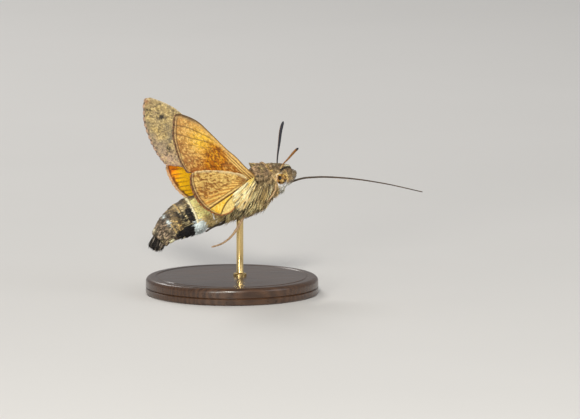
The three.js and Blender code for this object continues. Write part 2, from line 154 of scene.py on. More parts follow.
# Piece from points, quads and triangles, with a tint for each point, and for tufts also the share along the
# tuft and the bake map
def newPiece(name, shape, material, tint=None, share=None, uv=None):
    points, quads, triangles = shape
    corners = np.concatenate([quads.ravel(), triangles.ravel()]).astype(np.int32)
    sizes = np.repeat([4, 3], [len(quads), len(triangles)])
    mesh = bpy.data.meshes.new(name)
    mesh.vertices.add(len(points))
    mesh.vertices.foreach_set("co", (points * mm).astype(np.float32).ravel())
    mesh.loops.add(len(corners))
    mesh.loops.foreach_set("vertex_index", corners)
    mesh.polygons.add(len(sizes))
    mesh.polygons.foreach_set("loop_start", (np.cumsum(sizes) - sizes).astype(np.int32))
    mesh.polygons.foreach_set("use_smooth", np.ones(len(sizes), bool))
    mesh.update(calc_edges=True)
    if tint is not None:
        colour = np.ones((len(points), 4), np.float32)
        colour[:, :3] = np.clip(tint, 0, 1)
        mesh.attributes.new("tint", "FLOAT_COLOR", "POINT").data.foreach_set("color", colour.ravel())
    if share is not None:
        mesh.attributes.new("share", "FLOAT", "POINT").data.foreach_set("value", share.astype(np.float32))
        mesh.uv_layers.new(name="OFBake").data.foreach_set("uv", uv[corners].astype(np.float32).ravel())
    mesh.validate()
    mesh.materials.append(material)
    piece = addObject(name, mesh)
    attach(piece, "root")
    return piece


# Closed tube of rings, each end a fan on its ring's middle and tinted like it
def newTube(name, rings, material, tint=None):
    rows, columns = rings.shape[:2]
    points = np.concatenate([rings.reshape(-1, 3), [rings[0].mean(0), rings[-1].mean(0)]])
    here = np.arange(columns)
    ahead = (here + 1) % columns
    last = (rows - 1) * columns
    first = np.stack([np.full(columns, rows * columns), ahead, here], 1)
    final = np.stack([np.full(columns, rows * columns + 1), last + here, last + ahead], 1)
    if tint is not None:
        tint = tint.reshape(-1, 3)
        tint = np.concatenate([tint, tint[:1], tint[-1:]])
    shape = (points, gridFaces(rows, columns), np.concatenate([first, final]))
    return newPiece(name, shape, material, tint)


# Rings round a path: at each share an oval of the given half width and half height, turned to the path
def ringsAlong(knots, shares, width, height, columns, upward):
    middle, along = pathAt(knots, shares)
    across = unit(np.cross(along, np.asarray(upward, float)))
    raised = np.cross(across, along)
    angle = circle(columns)
    flat = across[:, None] * (width[:, None] * np.cos(angle))[..., None]
    return middle[:, None] + flat + raised[:, None] * (height[:, None] * np.sin(angle))[..., None]


# Rounds off a thickness towards the path's end, from the share where it starts
def bluntEnd(shares, start, least=0.03):
    return np.sqrt(np.maximum(least, 1 - np.maximum(0, (shares - start) / (1 - start)) ** 2))


# Outlines of tufts: shares of the length and of the width
hairProfile = [(0, 0.7), (0.4, 1), (0.75, 0.62), (1, 0)]
scaleProfile = [(0, 0.45), (0.55, 1), (0.9, 0.85), (1, 0)]
downProfile = [(0, 0.8), (0.5, 1), (1, 0)]
patchSize = 0.0028  # width of a tuft's patch in the bake map


# Coat of tufts, each a closed three-sided blade. Its middle line leaves the root at `lift` radians off the
# surface and bends down by `curl` times that to its tip. In the bake map every tuft is a small patch at its
# root's place on the skin's unwrap.
def newCoat(name, look, root, lie, normal, length, width, bend, tint, rootMap, profile, flat=0.2,
            pull=None):
    lift, curl = bend
    shares, widths = np.array(profile).T
    count, rings = len(root), len(shares) - 1
    across = unit(np.cross(normal, lie))
    steps = np.diff(shares, prepend=0)
    angle = np.reshape(lift, (-1, 1)) * (1 - curl * shares)
    forward = np.cumsum(np.cos(angle) * steps, axis=1) * length[:, None]
    upward = np.cumsum(np.sin(angle) * steps, axis=1) * length[:, None]
    middle = root[:, None] + lie[:, None] * forward[..., None] + normal[:, None] * upward[..., None]
    if pull is not None:
        middle = middle + pull[:, None] * (shares**1.5)[:, None]
    half = (width[:, None] * widths[:-1] / 2)[..., None]
    body = middle[:, :-1]
    ridge = body + normal[:, None] * half * 2 * flat
    blade = np.stack([body - across[:, None] * half, body + across[:, None] * half, ridge], 2)
    points = np.concatenate([blade.reshape(count, -1, 3), middle[:, -1:]], 1)
    each, top = 3 * rings + 1, 3 * (rings - 1)
    edges = ((0, 1), (1, 2), (2, 0))
    quads = [[3 * k + b, 3 * k + a, 3 * k + 3 + a, 3 * k + 3 + b] for k in range(rings - 1) for a, b in edges]
    triangles = [[0, 1, 2]] + [[top + b, top + a, each - 1] for a, b in edges]
    start = (np.arange(count) * each)[:, None, None]
    quads = (np.array(quads).reshape(-1, 4) + start).reshape(-1, 4)
    triangles = (np.array(triangles) + start).reshape(-1, 3)
    share = np.tile(np.append(np.repeat(shares[:-1], 3), 1), count)
    spot = np.stack([np.linspace(-1, 1, each), np.cos(np.linspace(0, 3 * math.pi, each))], 1) * patchSize / 2
    uv = (rootMap[:, None] + spot).reshape(-1, 2)
    shape = (points.reshape(-1, 3), quads, triangles)
    return newPiece(name, shape, look, np.repeat(tint, each, axis=0), share, uv)


# Pulls tips together in clumps: each tuft leans towards the nearest of some clump middles. Along a given
# direction distances count for less, which makes a clump a long strand.
def clumpPull(root, clumps, strength, rng, along=None):
    place = root if along is None else root - 0.78 * (root @ along)[:, None] * along
    chosen = rng.choice(len(root), clumps, replace=False)
    middle = place[chosen]
    nearest = np.empty(len(root), int)
    for start in range(0, len(root), 2000):
        part = place[start : start + 2000]
        gap = (part**2).sum(1)[:, None] - 2 * part @ middle.T + (middle**2).sum(1)
        nearest[start : start + 2000] = gap.argmin(1)
    lean = root[chosen][nearest] - root
    if along is not None:
        lean = lean - (lean @ along)[:, None] * along
    return lean * strength, nearest


# One random number for all tufts of a clump
def lots(clump, rng):
    return rng.uniform(0, 1, clump.max() + 1)[clump]


# Makes each tuft a little darker or lighter than its tint
def varied(tint, amount, low, high, rng):
    return tint * np.clip(rng.normal(1, amount, len(tint)), low, high)[:, None]


# Surfaces


class Nodes:
    def __init__(self, name, **constants):
        self.material = bpy.data.materials.new(name)
        self.material.use_nodes = True
        self.tree = self.material.node_tree
        self.shader = self.tree.nodes["Principled BSDF"]
        for socket, value in constants.items():
            self.shader.inputs[socket.replace("_", " ")].default_value = value

    def add(self, kind, settings=None, **inputs):
        made = self.tree.nodes.new("ShaderNode" + kind)
        for key, value in (settings or {}).items():
            setattr(made, key, value)
        for key, value in inputs.items():
            numbered = key.startswith("in") and key[2:].isdigit()
            socket = made.inputs[int(key[2:]) if numbered else key.replace("_", " ")]
            if isinstance(value, bpy.types.NodeSocket):
                self.tree.links.new(value, socket)
            else:
                socket.default_value = value
        return made

    def place(self):
        return self.add("TexCoord").outputs["Object"]

    def stretched(self, scale):
        return self.add("Mapping", Vector=self.place(), Scale=scale).outputs[0]

    def attribute(self, name, output):
        return self.add("Attribute", {"attribute_name": name}).outputs[output]

    def noise(self, scale, detail, vector=None):
        return self.add("TexNoise", Scale=scale, Detail=detail, Vector=vector or self.place()).outputs["Fac"]

    def fit(self, value, low, high, newLow=0.0, newHigh=1.0):
        return self.add("MapRange", in0=value, in1=low, in2=high, in3=newLow, in4=newHigh).outputs["Result"]

    def math(self, kind, first, second):
        return self.add("Math", {"operation": kind}, in0=first, in1=second).outputs[0]

    def blend(self, share, first, second):
        return self.add("Mix", {"data_type": "RGBA"}, in0=share, in6=first, in7=second).outputs[2]

    def tinted(self, shade):
        scaled = self.add("VectorMath", {"operation": "SCALE"}, Vector=self.attribute("tint", "Color"),
                          Scale=shade)
        return scaled.outputs[0]

    def finish(self, colour, rough=None, height=None, strength=0.4, distance=0.00005):
        self.tree.links.new(colour, self.shader.inputs["Base Color"])
        if rough is not None:
            self.tree.links.new(rough, self.shader.inputs["Roughness"])
        if height is not None:
            made = self.add("Bump", Strength=strength, Distance=distance, Height=height)
            self.tree.links.new(made.outputs[0], self.shader.inputs["Normal"])
        return self.material


# Fur: the tuft's own tint, times a painted shade that darkens the root, where the coat shades it, and
# painted light that lifts the tip, times a fine noise as streaks, with a still finer noise as bump
def furMaterial(name, rootShade, tipShade, roughness=0.6):
    n = Nodes(name, Roughness=roughness, Sheen_Weight=0.1, Sheen_Roughness=0.4, Specular_IOR_Level=0.2)
    shade = n.fit(n.attribute("share", "Fac"), 0.0, 1.0, rootShade, tipShade)
    streak = n.fit(n.noise(9000.0, 2.0), 0.3, 0.7, 0.85, 1.15)
    return n.finish(n.tinted(n.math("MULTIPLY", shade, streak)), height=n.noise(14000.0, 2.0), strength=0.25)


# Mottled surface: the mesh's tint times a noise between a dark and a light shade, with a finer noise as bump
def mottledMaterial(name, mottle, bump, strength, distance, **constants):
    n = Nodes(name, Sheen_Weight=0.1, **constants)
    scale, detail, low, high, dark, light = mottle
    shade = n.fit(n.noise(scale, detail), low, high, dark, light)
    return n.finish(n.tinted(shade), height=n.noise(*bump), strength=strength, distance=distance)


# Root and tip shades are painted shade and light; the face's lift the white under the eye out of its shade
furLook = furMaterial("fur", 0.36, 1.25)
scaleLook = furMaterial("scales", 0.8, 1.12, 0.5)
faceLook = furMaterial("face_fur", 0.72, 1.35)
hairLook = furMaterial("hair", 0.85, 1.4, 0.42)
fringeLook = furMaterial("fringe", 0.85, 1.1)
skinLook = mottledMaterial("skin_scales", (5000.0, 5.0, 0.35, 0.65, 0.4, 0.85), (6000.0, 6.0), 0.6, 0.0001,
                           Roughness=0.7, Specular_IOR_Level=0.2)
hornLook = mottledMaterial("antenna", (9000.0, 4.0, 0.3, 0.7, 0.7, 1.25), (15000.0, 3.0), 0.3, 0.00005,
                           Roughness=0.5, Specular_IOR_Level=0.4)

# The body's own shape

# Stations of the outline at the coat's tips, from the tail to the snout, in mm
bodyStations = {
    "x": [-13.12, -12.95, -12.3, -11.1, -9.6, -7.4, -5, -3.3, -2.05, -0.6, 1, 2.6, 4.2, 5.6, 6.7, 7.25, 7.75,
          8.3, 8.9, 9.6, 10.2, 10.55, 10.7],
    "z": [9.75, 9.9, 10.65, 11.7, 12.65, 13.7, 14.6, 15.15, 15.6, 16.25, 17, 17.7, 18.4, 19, 19.4, 19.6,
          19.85, 20, 20.15, 20.3, 20.45, 20.5, 20.5],
    "above": [0.7, 1.3, 1.85, 2.45, 2.98, 3.3, 3.3, 3.15, 2.98, 3.25, 3.4, 3.5, 3.6, 3.95, 3.8, 3.5, 3.15,
              2.85, 2.65, 2.3, 1.9, 1.35, 0.8],
    "below": [0.7, 1.3, 1.7, 2.25, 2.75, 3.05, 3.1, 3.0, 2.9, 3.15, 3.55, 3.65, 3.5, 3.05, 2.5, 2.2, 2.25,
              2.3, 2.0, 1.7, 1.35, 0.85, 0.35],
    "side": [0.9, 1.75, 2.35, 2.85, 3.25, 3.5, 3.5, 3.35, 3.1, 3.55, 3.95, 4.1, 3.9, 3.4, 2.8, 2.35, 2.1,
             2.15, 2.15, 1.95, 1.5, 0.95, 0.4],
}
coatDepth = {
    "x": [-13.1, -12, -8, -2.2, -0.4, 5, 6.8, 8.3, 9.6, 10.7],
    "depth": [0.1, 0.2, 0.22, 0.3, 0.62, 0.62, 0.5, 0.32, 0.22, 0.1],
}
segmentEdges = [-1.9, -4.3, -7.1, -9.0, -10.9, -12.45]
segmentSettings = {"flare": 0.2, "slope": 2.0, "groove": 0.18}
eyeSettings = {"centre": (8.4, 1.68, 20.0), "radius": 0.92, "rows": 64, "columns": 96}


def depthAt(x):
    return np.interp(x, coatDepth["x"], coatDepth["depth"])


# Each segment widens backwards to its rear edge and then steps in, with a shallow groove behind the edge
def flareAt(x):
    s, far = segmentSettings, 9
    flat = np.asarray(x, float).ravel()
    ahead = flat - np.array(segmentEdges)[:, None]
    inside = np.where(ahead > 0, ahead, far).min(0)
    behind = np.where(ahead <= 0, -ahead, far).min(0)
    rise = s["flare"] * (np.clip(1 - inside / s["slope"], 0, 1) - 0.3 * bell(behind, 0, s["groove"]))
    return np.where(flat < segmentEdges[0] + 2, rise, 0).reshape(np.shape(x))


# Body surface: the middle line plus an oval with its own half heights above and below. The angle is 0 on the
# back, positive to the left and pi on the belly, and inset moves the surface in from the coat's tips.
def bodyPoint(x, angle, inset=0.0):
    def middleAt(place):
        return np.interp(place, bodyStations["x"], bodyStations["z"])

    stations = np.stack([bodyStations[k] for k in ("z", "above", "below", "side")], 1)
    z, above, below, side = np.moveaxis(through(bodyStations["x"], stations, x), -1, 0)
    slope = (middleAt(x + 0.4) - middleAt(x - 0.4)) / 0.8
    size = np.sqrt(1 + slope**2)
    upward = np.cos(angle)
    inset = inset - flareAt(x)
    height = np.where(upward > 0, above, below)
    reach = upward * height * np.maximum(1 - inset / height, 0.15)
    across = np.sin(angle) * side * np.maximum(1 - inset / side, 0.15)
    return np.stack([x - reach * slope / size, across, z + reach / size], -1)


# Frame on the body: point, outward normal, backward and downward directions along the surface
def bodyFrame(x, angle, inset):
    step = 0.05
    backward = unit(bodyPoint(x - step, angle, inset) - bodyPoint(x + step, angle, inset))
    turn = unit(bodyPoint(x, angle + step, inset) - bodyPoint(x, angle - step, inset))
    normal = unit(np.cross(-backward, turn))
    return bodyPoint(x, angle, inset), normal, backward, turn * np.sign(np.sin(angle))[..., None]


greyBrown = (0.27, 0.195, 0.10)
olive = (0.36, 0.27, 0.11)
pinkGrey = (0.43, 0.28, 0.15)
tan = (0.66, 0.47, 0.20)
gold = (0.82, 0.52, 0.13)
cream = (0.93, 0.78, 0.40)
paleCream = (0.96, 0.88, 0.58)
darkBrown = (0.08, 0.055, 0.03)
black = (0.010, 0.009, 0.009)
white = (0.93, 0.94, 0.86)
blueWhite = (0.82, 0.93, 0.93)
smoke = (0.18, 0.145, 0.11)
khaki = (1.0, 0.87, 0.36)


# Markings of the abdomen from x and degrees from the back: dark grey above, a plain khaki band behind the
# waist, black side patches with pale hairs between them, mottled tan and grey towards the tail, white spots
# at one edge
def abdomenTint(x, turn, point):
    spots = cloud(point, 0.5, 3)
    fine = grain(point, 0.28, 5)
    band = ramp(-7.2, -7.05, x)
    light = bell(x, -8.05, 0.55) * bell(turn, 44, 13)
    patch = np.maximum(bell(x, -7.78, 0.58), bell(x, -9.1, 0.5)) * bell(turn, 75, 23)
    hairs = bell(x, -8.45, 0.12) * bell(turn, 78, 20)
    streaks = bell(x, -9.95, 0.42) * ramp(52, 66, turn) * fall(98, 112, turn)
    thin = grain(point * [0.35, 1, 1], 0.2, 15)
    low = ramp(-11.7, -11.0, x) * fall(-7.3, -7.0, x) * ramp(98, 110, turn) * fall(140, 158, turn)
    edge = bell(x, -7.14, 0.09) + 0.5 * bell(x, -9.05, 0.1) * fall(50, 62, turn)
    rear = fall(-11.2, -10.9, x)
    mottle = grain(point * [0.6, 1, 1], 0.2, 6)
    spot = bell(x, -10.98, 0.2) * (bell(turn, 14, 8) + bell(turn, 54, 11)) * (0.7 + 0.6 * fine)
    belly = ramp(140, 160, turn) * ramp(-11.8, -11, x)
    return paint(
        mix((0.075, 0.062, 0.05), greyBrown, ramp(0.36, 0.76, spots)),
        (tan, (0.2 + ramp(20, 55, turn)) * ramp(0.47, 0.64, fine) * 0.5),
        (khaki, band * ramp(12, 36, turn + 24 * (fine - 0.5))),
        (mix(greyBrown, tan, fine), band * ramp(84, 106, turn) * 0.85),
        ((0.9, 0.74, 0.4), np.clip(light * 1.3, 0, 0.9) * ramp(0.32, 0.5, fine)),
        (black, np.clip(patch * 3.6, 0, 1) * ramp(0.08, 0.2, fine)),
        (cream, np.clip(hairs, 0, 0.9) * ramp(0.4, 0.6, fine)),
        ((0.62, 0.42, 0.15), np.clip(streaks * 1.3, 0, 0.95) * ramp(0.42, 0.54, thin)),
        (darkBrown, streaks * ramp(0.52, 0.62, 1 - thin) * 0.8),
        (black, low * ramp(0.15, 0.35, fine + 0.1)),
        (paleCream, np.clip(edge, 0, 0.9) * (1 - 0.6 * ramp(112, 130, turn))),
        (mix((0.10, 0.08, 0.055), (0.5, 0.37, 0.25), ramp(0.47, 0.68, mottle)), rear * 0.95),
        (darkBrown, rear * ramp(0.5, 0.68, 1 - mottle) * 0.8),
        (black, bell(x, -11.45, 0.28) * bell(turn, 26, 12) * 0.9),
        (blueWhite, np.clip(spot * 2.4, 0, 1)),
        (paleCream, bell(x, -12.75, 0.15) * bell(turn, 0, 20) * 0.8),
        (mix(olive, (0.62, 0.48, 0.24), ramp(-5.0, -3.0, x)), belly * 0.8),
    )


# Markings of the thorax: pinkish brown mottled with dark on the back, a golden collar with dark dots, streaks
# of tan, gold and cream down the sides, palest behind the wing roots, and brown below
def thoraxTint(x, turn, point):
    spots = cloud(point, 0.6, 7)
    fine = grain(point, 0.26, 9)
    front = ramp(3.2, 5.0, x)
    pale = ramp(58, 76, turn) * fall(112, 132, turn) * fall(1.8, 4.2, x)
    strand = bell(turn, np.interp(x, [4.2, 5.9], [118, 85]), 5) * ramp(3.9, 4.3, x) * fall(5.8, 6.2, x)
    place = x - 0.45 * ramp(40, 56, turn)
    upper = fall(50, 60, turn)
    broken = ramp(0.4, 0.55, cloud(point, 0.5, 8))
    return paint(
        mix(pinkGrey, olive, ramp(0.35, 0.8, spots)) * 1.15,
        (darkBrown, ramp(0.52, 0.68, fine) * 0.65),
        ((0.59, 0.43, 0.19), ramp(46, 76, turn) * (0.9 - 0.5 * front)),
        (gold, ramp(60, 90, turn) * ramp(0.5, 0.75, spots) * (0.5 - 0.3 * front)),
        (cream, pale * 0.62),
        (greyBrown, np.clip(bell(x, 4.6, 1.4) * bell(turn, 68, 17), 0, 0.7)),
        ((0.72, 0.52, 0.26), ramp(125, 150, turn) * ramp(-0.5, 2.5, x) * 0.6),
        ((0.98, 0.78, 0.42), ramp(96, 112, turn) * fall(0.6, 2.4, x) * ramp(0.36, 0.56, spots) * 0.8),
        (paleCream, strand * 0.9),
        (gold, np.clip(bell(place, 6.9, 0.16) * 1.2, 0, 0.9) * upper * (0.35 + 0.65 * broken)),
        (darkBrown, bell(place, 7.2, 0.16) * upper * (0.4 + 0.6 * broken)),
    )


# Distance of points from the nearer eye's surface
def eyeGap(point):
    return np.linalg.norm(onLeft(point) - eyeSettings["centre"], axis=-1) - eyeSettings["radius"]


# Markings of the head: brown mottled with grey and pale tips, a black painted shadow along the groove over
# the face with a pinkish ridge above it, a golden cheek, a pale ring behind the eye, white below the eye and
# grey at the chin
def headTint(x, turn, point):
    spots = cloud(point, 0.35, 11)
    fine = grain(point, 0.22, 12)
    cheek = bell(x, 9.22, 0.28) * bell(turn, 78, 18)
    line = np.interp(x, [8.35, 8.8, 9.7, 10.4], [60, 50, 37, 25])
    along = ramp(8.3, 8.6, x) * fall(10.35, 10.55, x)
    ridge = bell(turn, line - 12, 8) * bell(x, 10.0, 0.4)
    ring = bell(eyeGap(point), 0.1, 0.16)
    underEye = ramp(90, 95, turn) * fall(8.9, 9.4, x) * ramp(6.9, 7.2, x)
    chin = ramp(134, 146, turn) * fall(9.0, 9.6, x) * ramp(6.9, 7.2, x)
    return paint(
        mix(greyBrown, pinkGrey, ramp(0.3, 0.7, spots)) * (0.9 - 0.45 * fall(30, 60, turn))[..., None],
        (paleCream, ramp(0.6, 0.75, fine) * fall(30, 48, turn) * 0.45),
        (darkBrown, ramp(0.5, 0.66, 1 - fine) * 0.7),
        (tan, bell(turn, 62, 14) * fall(8.2, 8.8, x) * 0.35),
        ((0.8, 0.54, 0.2), np.clip(cheek * 1.3, 0, 0.9) * ramp(0.4, 0.56, fine + 0.05)),
        (pinkGrey, bell(turn, line - 12, 6) * along * 0.8),
        (paleCream, np.clip(ridge * 1.5, 0, 0.95)),
        # Painted shadow: black along the groove between the head's top tuft and the face
        (black, np.clip(bell(turn, line, 4.6) * 2.0, 0, 0.99) * along),
        ((0.9, 0.72, 0.48), ring * fall(8.2, 8.8, point[..., 0]) * 0.9),
        ((0.85, 0.56, 0.18), ring * ramp(8.5, 9.0, point[..., 0]) * 0.8),
        # White below the eye: its real colour, raised to pure white as painted light against its shade
        ((1.0, 1.0, 1.0), underEye),
        (mix((0.03, 0.027, 0.018), (0.44, 0.44, 0.35), ramp(0.46, 0.64, fine)), chin * 0.97),
    )


# The whole body's markings: the three parts' tints, eased into each other at the waist and the neck
def bodyTint(x, angle, point):
    turn = np.degrees(np.abs((angle + math.pi) % (2 * math.pi) - math.pi))
    tint = mix(abdomenTint(x, turn, point), thoraxTint(x, turn, point), ramp(-2.2, -1.2, x))
    return mix(tint, headTint(x, turn, point), ramp(7.25, 7.6, x))


# One continuous skin from the tail to the snout
skinSettings = {"rows": 260, "columns": 130, "from": -13.1, "to": 10.68, "crowding": 0.12}


def makeSkin():
    s = skinSettings
    share = np.linspace(0, 1, s["rows"])
    share = share - s["crowding"] * np.sin(2 * math.pi * share) / math.pi
    x, angle = np.meshgrid(s["from"] + (s["to"] - s["from"]) * share, circle(s["columns"]), indexing="ij")
    rings = bodyPoint(x, angle, depthAt(x))
    skin = newTube("body_skin", rings, skinLook, bodyTint(x, angle, rings))
    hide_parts("head", "thorax", "abdomen")


makeSkin()
print("skin done")

# Coats of the body. A setting is a number, or depends on x and the degrees from the back.


def settingAt(value, x, turn):
    return value(x, turn) if callable(value) else value


# Places on the body for tufts: random x and angle, kept in proportion to the area and to the wanted density
def scatterOnBody(s, rng):
    spare = s["count"] * 6
    x = rng.uniform(s["from"], s["to"], spare)
    angle = rng.uniform(-math.pi, math.pi, spare)
    step = 0.05
    sideways = bodyPoint(x, angle + step) - bodyPoint(x, angle - step)
    lengthways = bodyPoint(x + step, angle) - bodyPoint(x - step, angle)
    weight = np.linalg.norm(np.cross(sideways, lengthways), axis=1)
    weight = weight * settingAt(s["density"], x, np.degrees(np.abs(angle)))
    chosen = rng.choice(spare, s["count"], replace=False, p=weight / weight.sum())
    return x[chosen], angle[chosen]


# The body's unwrap: x across and the angle upwards, as on the skin
def bodyMap(x, angle):
    return np.stack([(x + 13.2) / 24.2, (angle / (2 * math.pi)) % 1.0], 1) * 0.97 + 0.01


strandWay = unit(np.array([-0.85, 0, -0.52]))  # the way that the long strands run

# Legs that lie along the body, as x, degrees from the back and how far off the coat
foldedLegs = {
    "front": [[7.02, 104, 0.0], [6.75, 114, 0.15], [6.2, 123, 0.2], [5.2, 130, 0.2], [4.2, 138, 0.2],
              [3.2, 143, 0.25]],
    "middle": [[3.18, 116, 0.05], [2.28, 118, 0.15], [0.94, 122, 0.15], [-0.41, 126, 0.15],
               [-1.27, 128, 0.3]],
    "rear": [[-1.92, 154, 0.1], [-2.3, 154, 0.15], [-3.1, 154, 0.15], [-4.39, 154, 0.15], [-6.25, 154, 0.3]],
}


def foldedKnots(pair, side):
    x, turn, off = np.array(foldedLegs[pair]).T
    return bodyPoint(x, np.radians(turn) * sides[side], -off)


# Cuts a tuft short where it would cross the folded front leg, which then lies free in a parting
def clearedLength(root, lie, normal, length):
    line = pathAt(foldedKnots("front", "left"), np.linspace(0, 1, 30))[0]
    room, least = 0.33, 0.25
    reach = length
    for share in np.arange(10, 0, -1) / 10:
        spot = onLeft(root + lie * (length * share)[:, None] + normal * 0.3)
        gap = np.linalg.norm(spot[:, None] - line, axis=2).min(1)
        reach = np.where(gap < room, np.minimum(reach, length * (share - 0.1)), reach)
    return np.maximum(reach, least)


coatDefaults = {"sunk": 0.0, "stray": 0.1, "gather": 0.5, "curl": 1.1, "tuftShade": 0.28, "flat": 0.35,
                "strands": False, "lean": 0.0, "streak": 0.4, "density": 1.0}


# Coat of one part of the body. Each clump has a lot of its own, which makes it darker or paler than the rest.
def bodyCoat(name, look, settings, seed):
    s = {**coatDefaults, **settings}
    rng = np.random.default_rng(seed)
    x, angle = scatterOnBody(s, rng)
    if "room" in s:
        keep = s["room"](bodyPoint(x, angle, depthAt(x))) > 0.1
        x, angle = x[keep], angle[keep]
    turn = np.degrees(np.abs(angle))
    keys = ("lean", "length", "width", "lift", "streak")
    lean, long, wide, high, streak = (settingAt(s[key], x, turn) for key in keys)
    root, normal, backward, downward = bodyFrame(x, angle, depthAt(x) + s["sunk"])
    lean = np.radians(lean) + rng.normal(0, s["stray"], len(x))
    lie = unit(backward * np.cos(lean)[:, None] + downward * np.sin(lean)[:, None])
    length = long * rng.uniform(0.75, 1.2, len(x))
    if "room" in s:
        length = length * s["room"](root)
    if s["strands"]:
        length = clearedLength(root, lie, normal, length)
    width = wide * rng.uniform(0.75, 1.25, len(x))
    lift = high * rng.uniform(0.7, 1.3, len(x))
    along = strandWay if s["strands"] else None
    pull, clump = clumpPull(root, max(2, len(x) // s["perClump"]), s["gather"], rng, along)
    tint = bodyTint(x - 0.6 * length * np.cos(lean), angle, root - 0.6 * length[:, None] * [1, 0, 0])
    lot = lots(clump, rng)
    tint = mix(tint, darkBrown, ramp(0.62, 0.76, lot) * streak)
    light = mix(np.minimum(tint * 1.9, 1), cream, ramp(55, 85, turn) * 0.8)
    tint = varied(mix(tint, light, fall(0.16, 0.3, lot) * streak * 0.9), s["tuftShade"], 0.35, 1.9, rng)
    bend = (lift, s["curl"])
    newCoat(name, look, root, lie, normal, length, width, bend, tint, bodyMap(x, angle), s["profile"],
            s["flat"], pull)


thoraxCoat = {
    "count": 13000, "from": -1.7, "to": 7.3, "sunk": 0.1, "stray": 0.14, "perClump": 16,
    "profile": downProfile, "strands": True,
    "lean": lambda x, turn: 36 * ramp(40, 75, turn) * (1 - 0.6 * ramp(130, 165, turn)),
    "streak": lambda x, turn: 0.5 + 0.25 * ramp(45, 80, turn),
    "density": lambda x, turn: 1 + 0.1 * ramp(60, 100, turn),
    "length": lambda x, turn: 1.0 + 0.6 * ramp(45, 80, turn) - 0.25 * ramp(5.5, 7, x),
    "width": lambda x, turn: 0.17 - 0.02 * ramp(40, 80, turn),
    "lift": lambda x, turn: 0.8 - 0.1 * ramp(50, 80, turn),
}
# Long strands over the sides of the thorax
strandCoat = {
    "count": 8600, "from": -0.9, "to": 7.2, "perClump": 15, "gather": 0.8, "curl": 0.95, "tuftShade": 0.18,
    "profile": hairProfile, "strands": True, "streak": 0.85, "width": 0.12, "lift": 0.52,
    "lean": lambda x, turn: 38 * ramp(40, 75, turn) * (1 - 0.6 * ramp(130, 165, turn)),
    "density": lambda x, turn: ramp(52 + 26 * ramp(2.5, 4.5, x), 72 + 20 * ramp(2.5, 4.5, x), turn),
    "length": lambda x, turn: 2.4 - 0.7 * ramp(5.2, 7.2, x),
}
# Single thick strands on top, each with a lot of its own
lockCoat = {
    **strandCoat, "count": 1500, "to": 6.9, "sunk": -0.12, "stray": 0.09, "perClump": 1, "gather": 0.0,
    "curl": 1.0, "tuftShade": 0.12, "flat": 0.5, "streak": 1.0, "width": 0.2, "lift": 0.42,
    "length": lambda x, turn: 3.1 - 0.9 * ramp(5.2, 7.2, x),
}
abdomenCoat = {
    "count": 10500, "from": -12.95, "to": -1.2, "sunk": 0.02, "perClump": 8, "gather": 0.1, "tuftShade": 0.26,
    "flat": 0.16, "profile": scaleProfile, "width": 0.19, "lift": 0.3,
    "streak": lambda x, turn: 0.4 * fall(-7.2, -7.0, x),
    "length": lambda x, turn: 0.85 - 0.3 * fall(-12.9, -11.8, x),
}
headCoat = {
    "count": 12000, "from": 6.9, "to": 10.65, "sunk": 0.04, "stray": 0.22, "perClump": 9, "curl": 1.2,
    "profile": downProfile,
    "lean": lambda x, turn: 6 + 40 * ramp(112, 135, turn),
    "streak": lambda x, turn: 0.4 - 0.35 * ramp(88, 96, turn) + 0.4 * ramp(120, 132, turn),
    "length": lambda x, turn: (0.85 - 0.45 * ramp(7.8, 9.4, x)
                               + 0.6 * ramp(122, 140, turn) * fall(8.8, 9.6, x)),
    "width": lambda x, turn: 0.12 - 0.03 * ramp(8, 10, x),
    "lift": lambda x, turn: 0.7 + 0.5 * ramp(115, 145, turn),
    "room": lambda point: ramp(-0.12, 0.0, eyeGap(point)) * (0.4 + 0.6 * ramp(0.1, 0.6, eyeGap(point))),
}
# Loose shaggy hair that hangs from the chin
chinCoat = {
    "count": 560, "from": 7.1, "to": 8.95, "stray": 0.3, "perClump": 6, "curl": 0.5, "tuftShade": 0.3,
    "profile": hairProfile, "lean": 30.0, "width": 0.09, "lift": 0.95,
    "density": lambda x, turn: ramp(134, 146, turn),
    "length": lambda x, turn: 1.6 - 0.75 * ramp(7.9, 8.9, x),
}
for number in (1, 2):
    bodyCoat(f"thorax_coat_{number}", furLook, thoraxCoat, 100 + number)
bodyCoat("thorax_strands", furLook, strandCoat, 140)
bodyCoat("thorax_locks", furLook, lockCoat, 150)
print("thorax coat done")
for number in (1, 2):
    bodyCoat(f"abdomen_scales_{number}", scaleLook, abdomenCoat, 200 + number)
print("abdomen scales done")
bodyCoat("head_coat", faceLook, headCoat, 301)
bodyCoat("chin_hair", faceLook, chinCoat, 311)
print("head coat done")

# Shoulder flaps: a slightly bulged patch over each wing root, between four corners. Its front and lower edges
# are sunk in the coat. Its rear edge stands clear of the wing, and higher on the right, where it is lifted.
shoulderFlaps = {
    "right": {"frontTop": (5.75, -0.65, 22.4), "rearTop": (2.72, -1.55, 22.8), "rearLow": (3.42, -3.6, 20.8),
              "frontLow": (5.9, -2.5, 20.7)},
    "left": {"frontTop": (5.75, 0.65, 22.3), "rearTop": (4.05, 1.95, 21.4), "rearLow": (3.42, 3.8, 19.95),
             "frontLow": (5.9, 2.6, 20.3)},
}
flapSettings = {"bulge": 0.3, "half": 0.12, "rows": 40, "columns": 30, "tufts": 4000, "perClump": 9,
                "length": 0.75, "width": 0.13}


# Flap surface: a mix of its four corners by s from front to rear and w from top to bottom, pushed out by two
# half sines
def flapPoint(side, s, w, height):
    c = {key: np.array(value) for key, value in shoulderFlaps[side].items()}
    s, w = s[..., None], w[..., None]
    top = c["frontTop"] * (1 - s) + c["rearTop"] * s
    low = c["frontLow"] * (1 - s) + c["rearLow"] * s
    outward = unit(np.array([0.1, sides[side] * 0.85, 0.5]))
    bow = np.sin(math.pi * np.clip(s * 0.8 + 0.2, 0, 1)) ** 0.7 * np.sin(math.pi * np.clip(w, 0, 1)) ** 0.7
    return top * (1 - w) + low * w + outward * (flapSettings["bulge"] * bow + height[..., None])


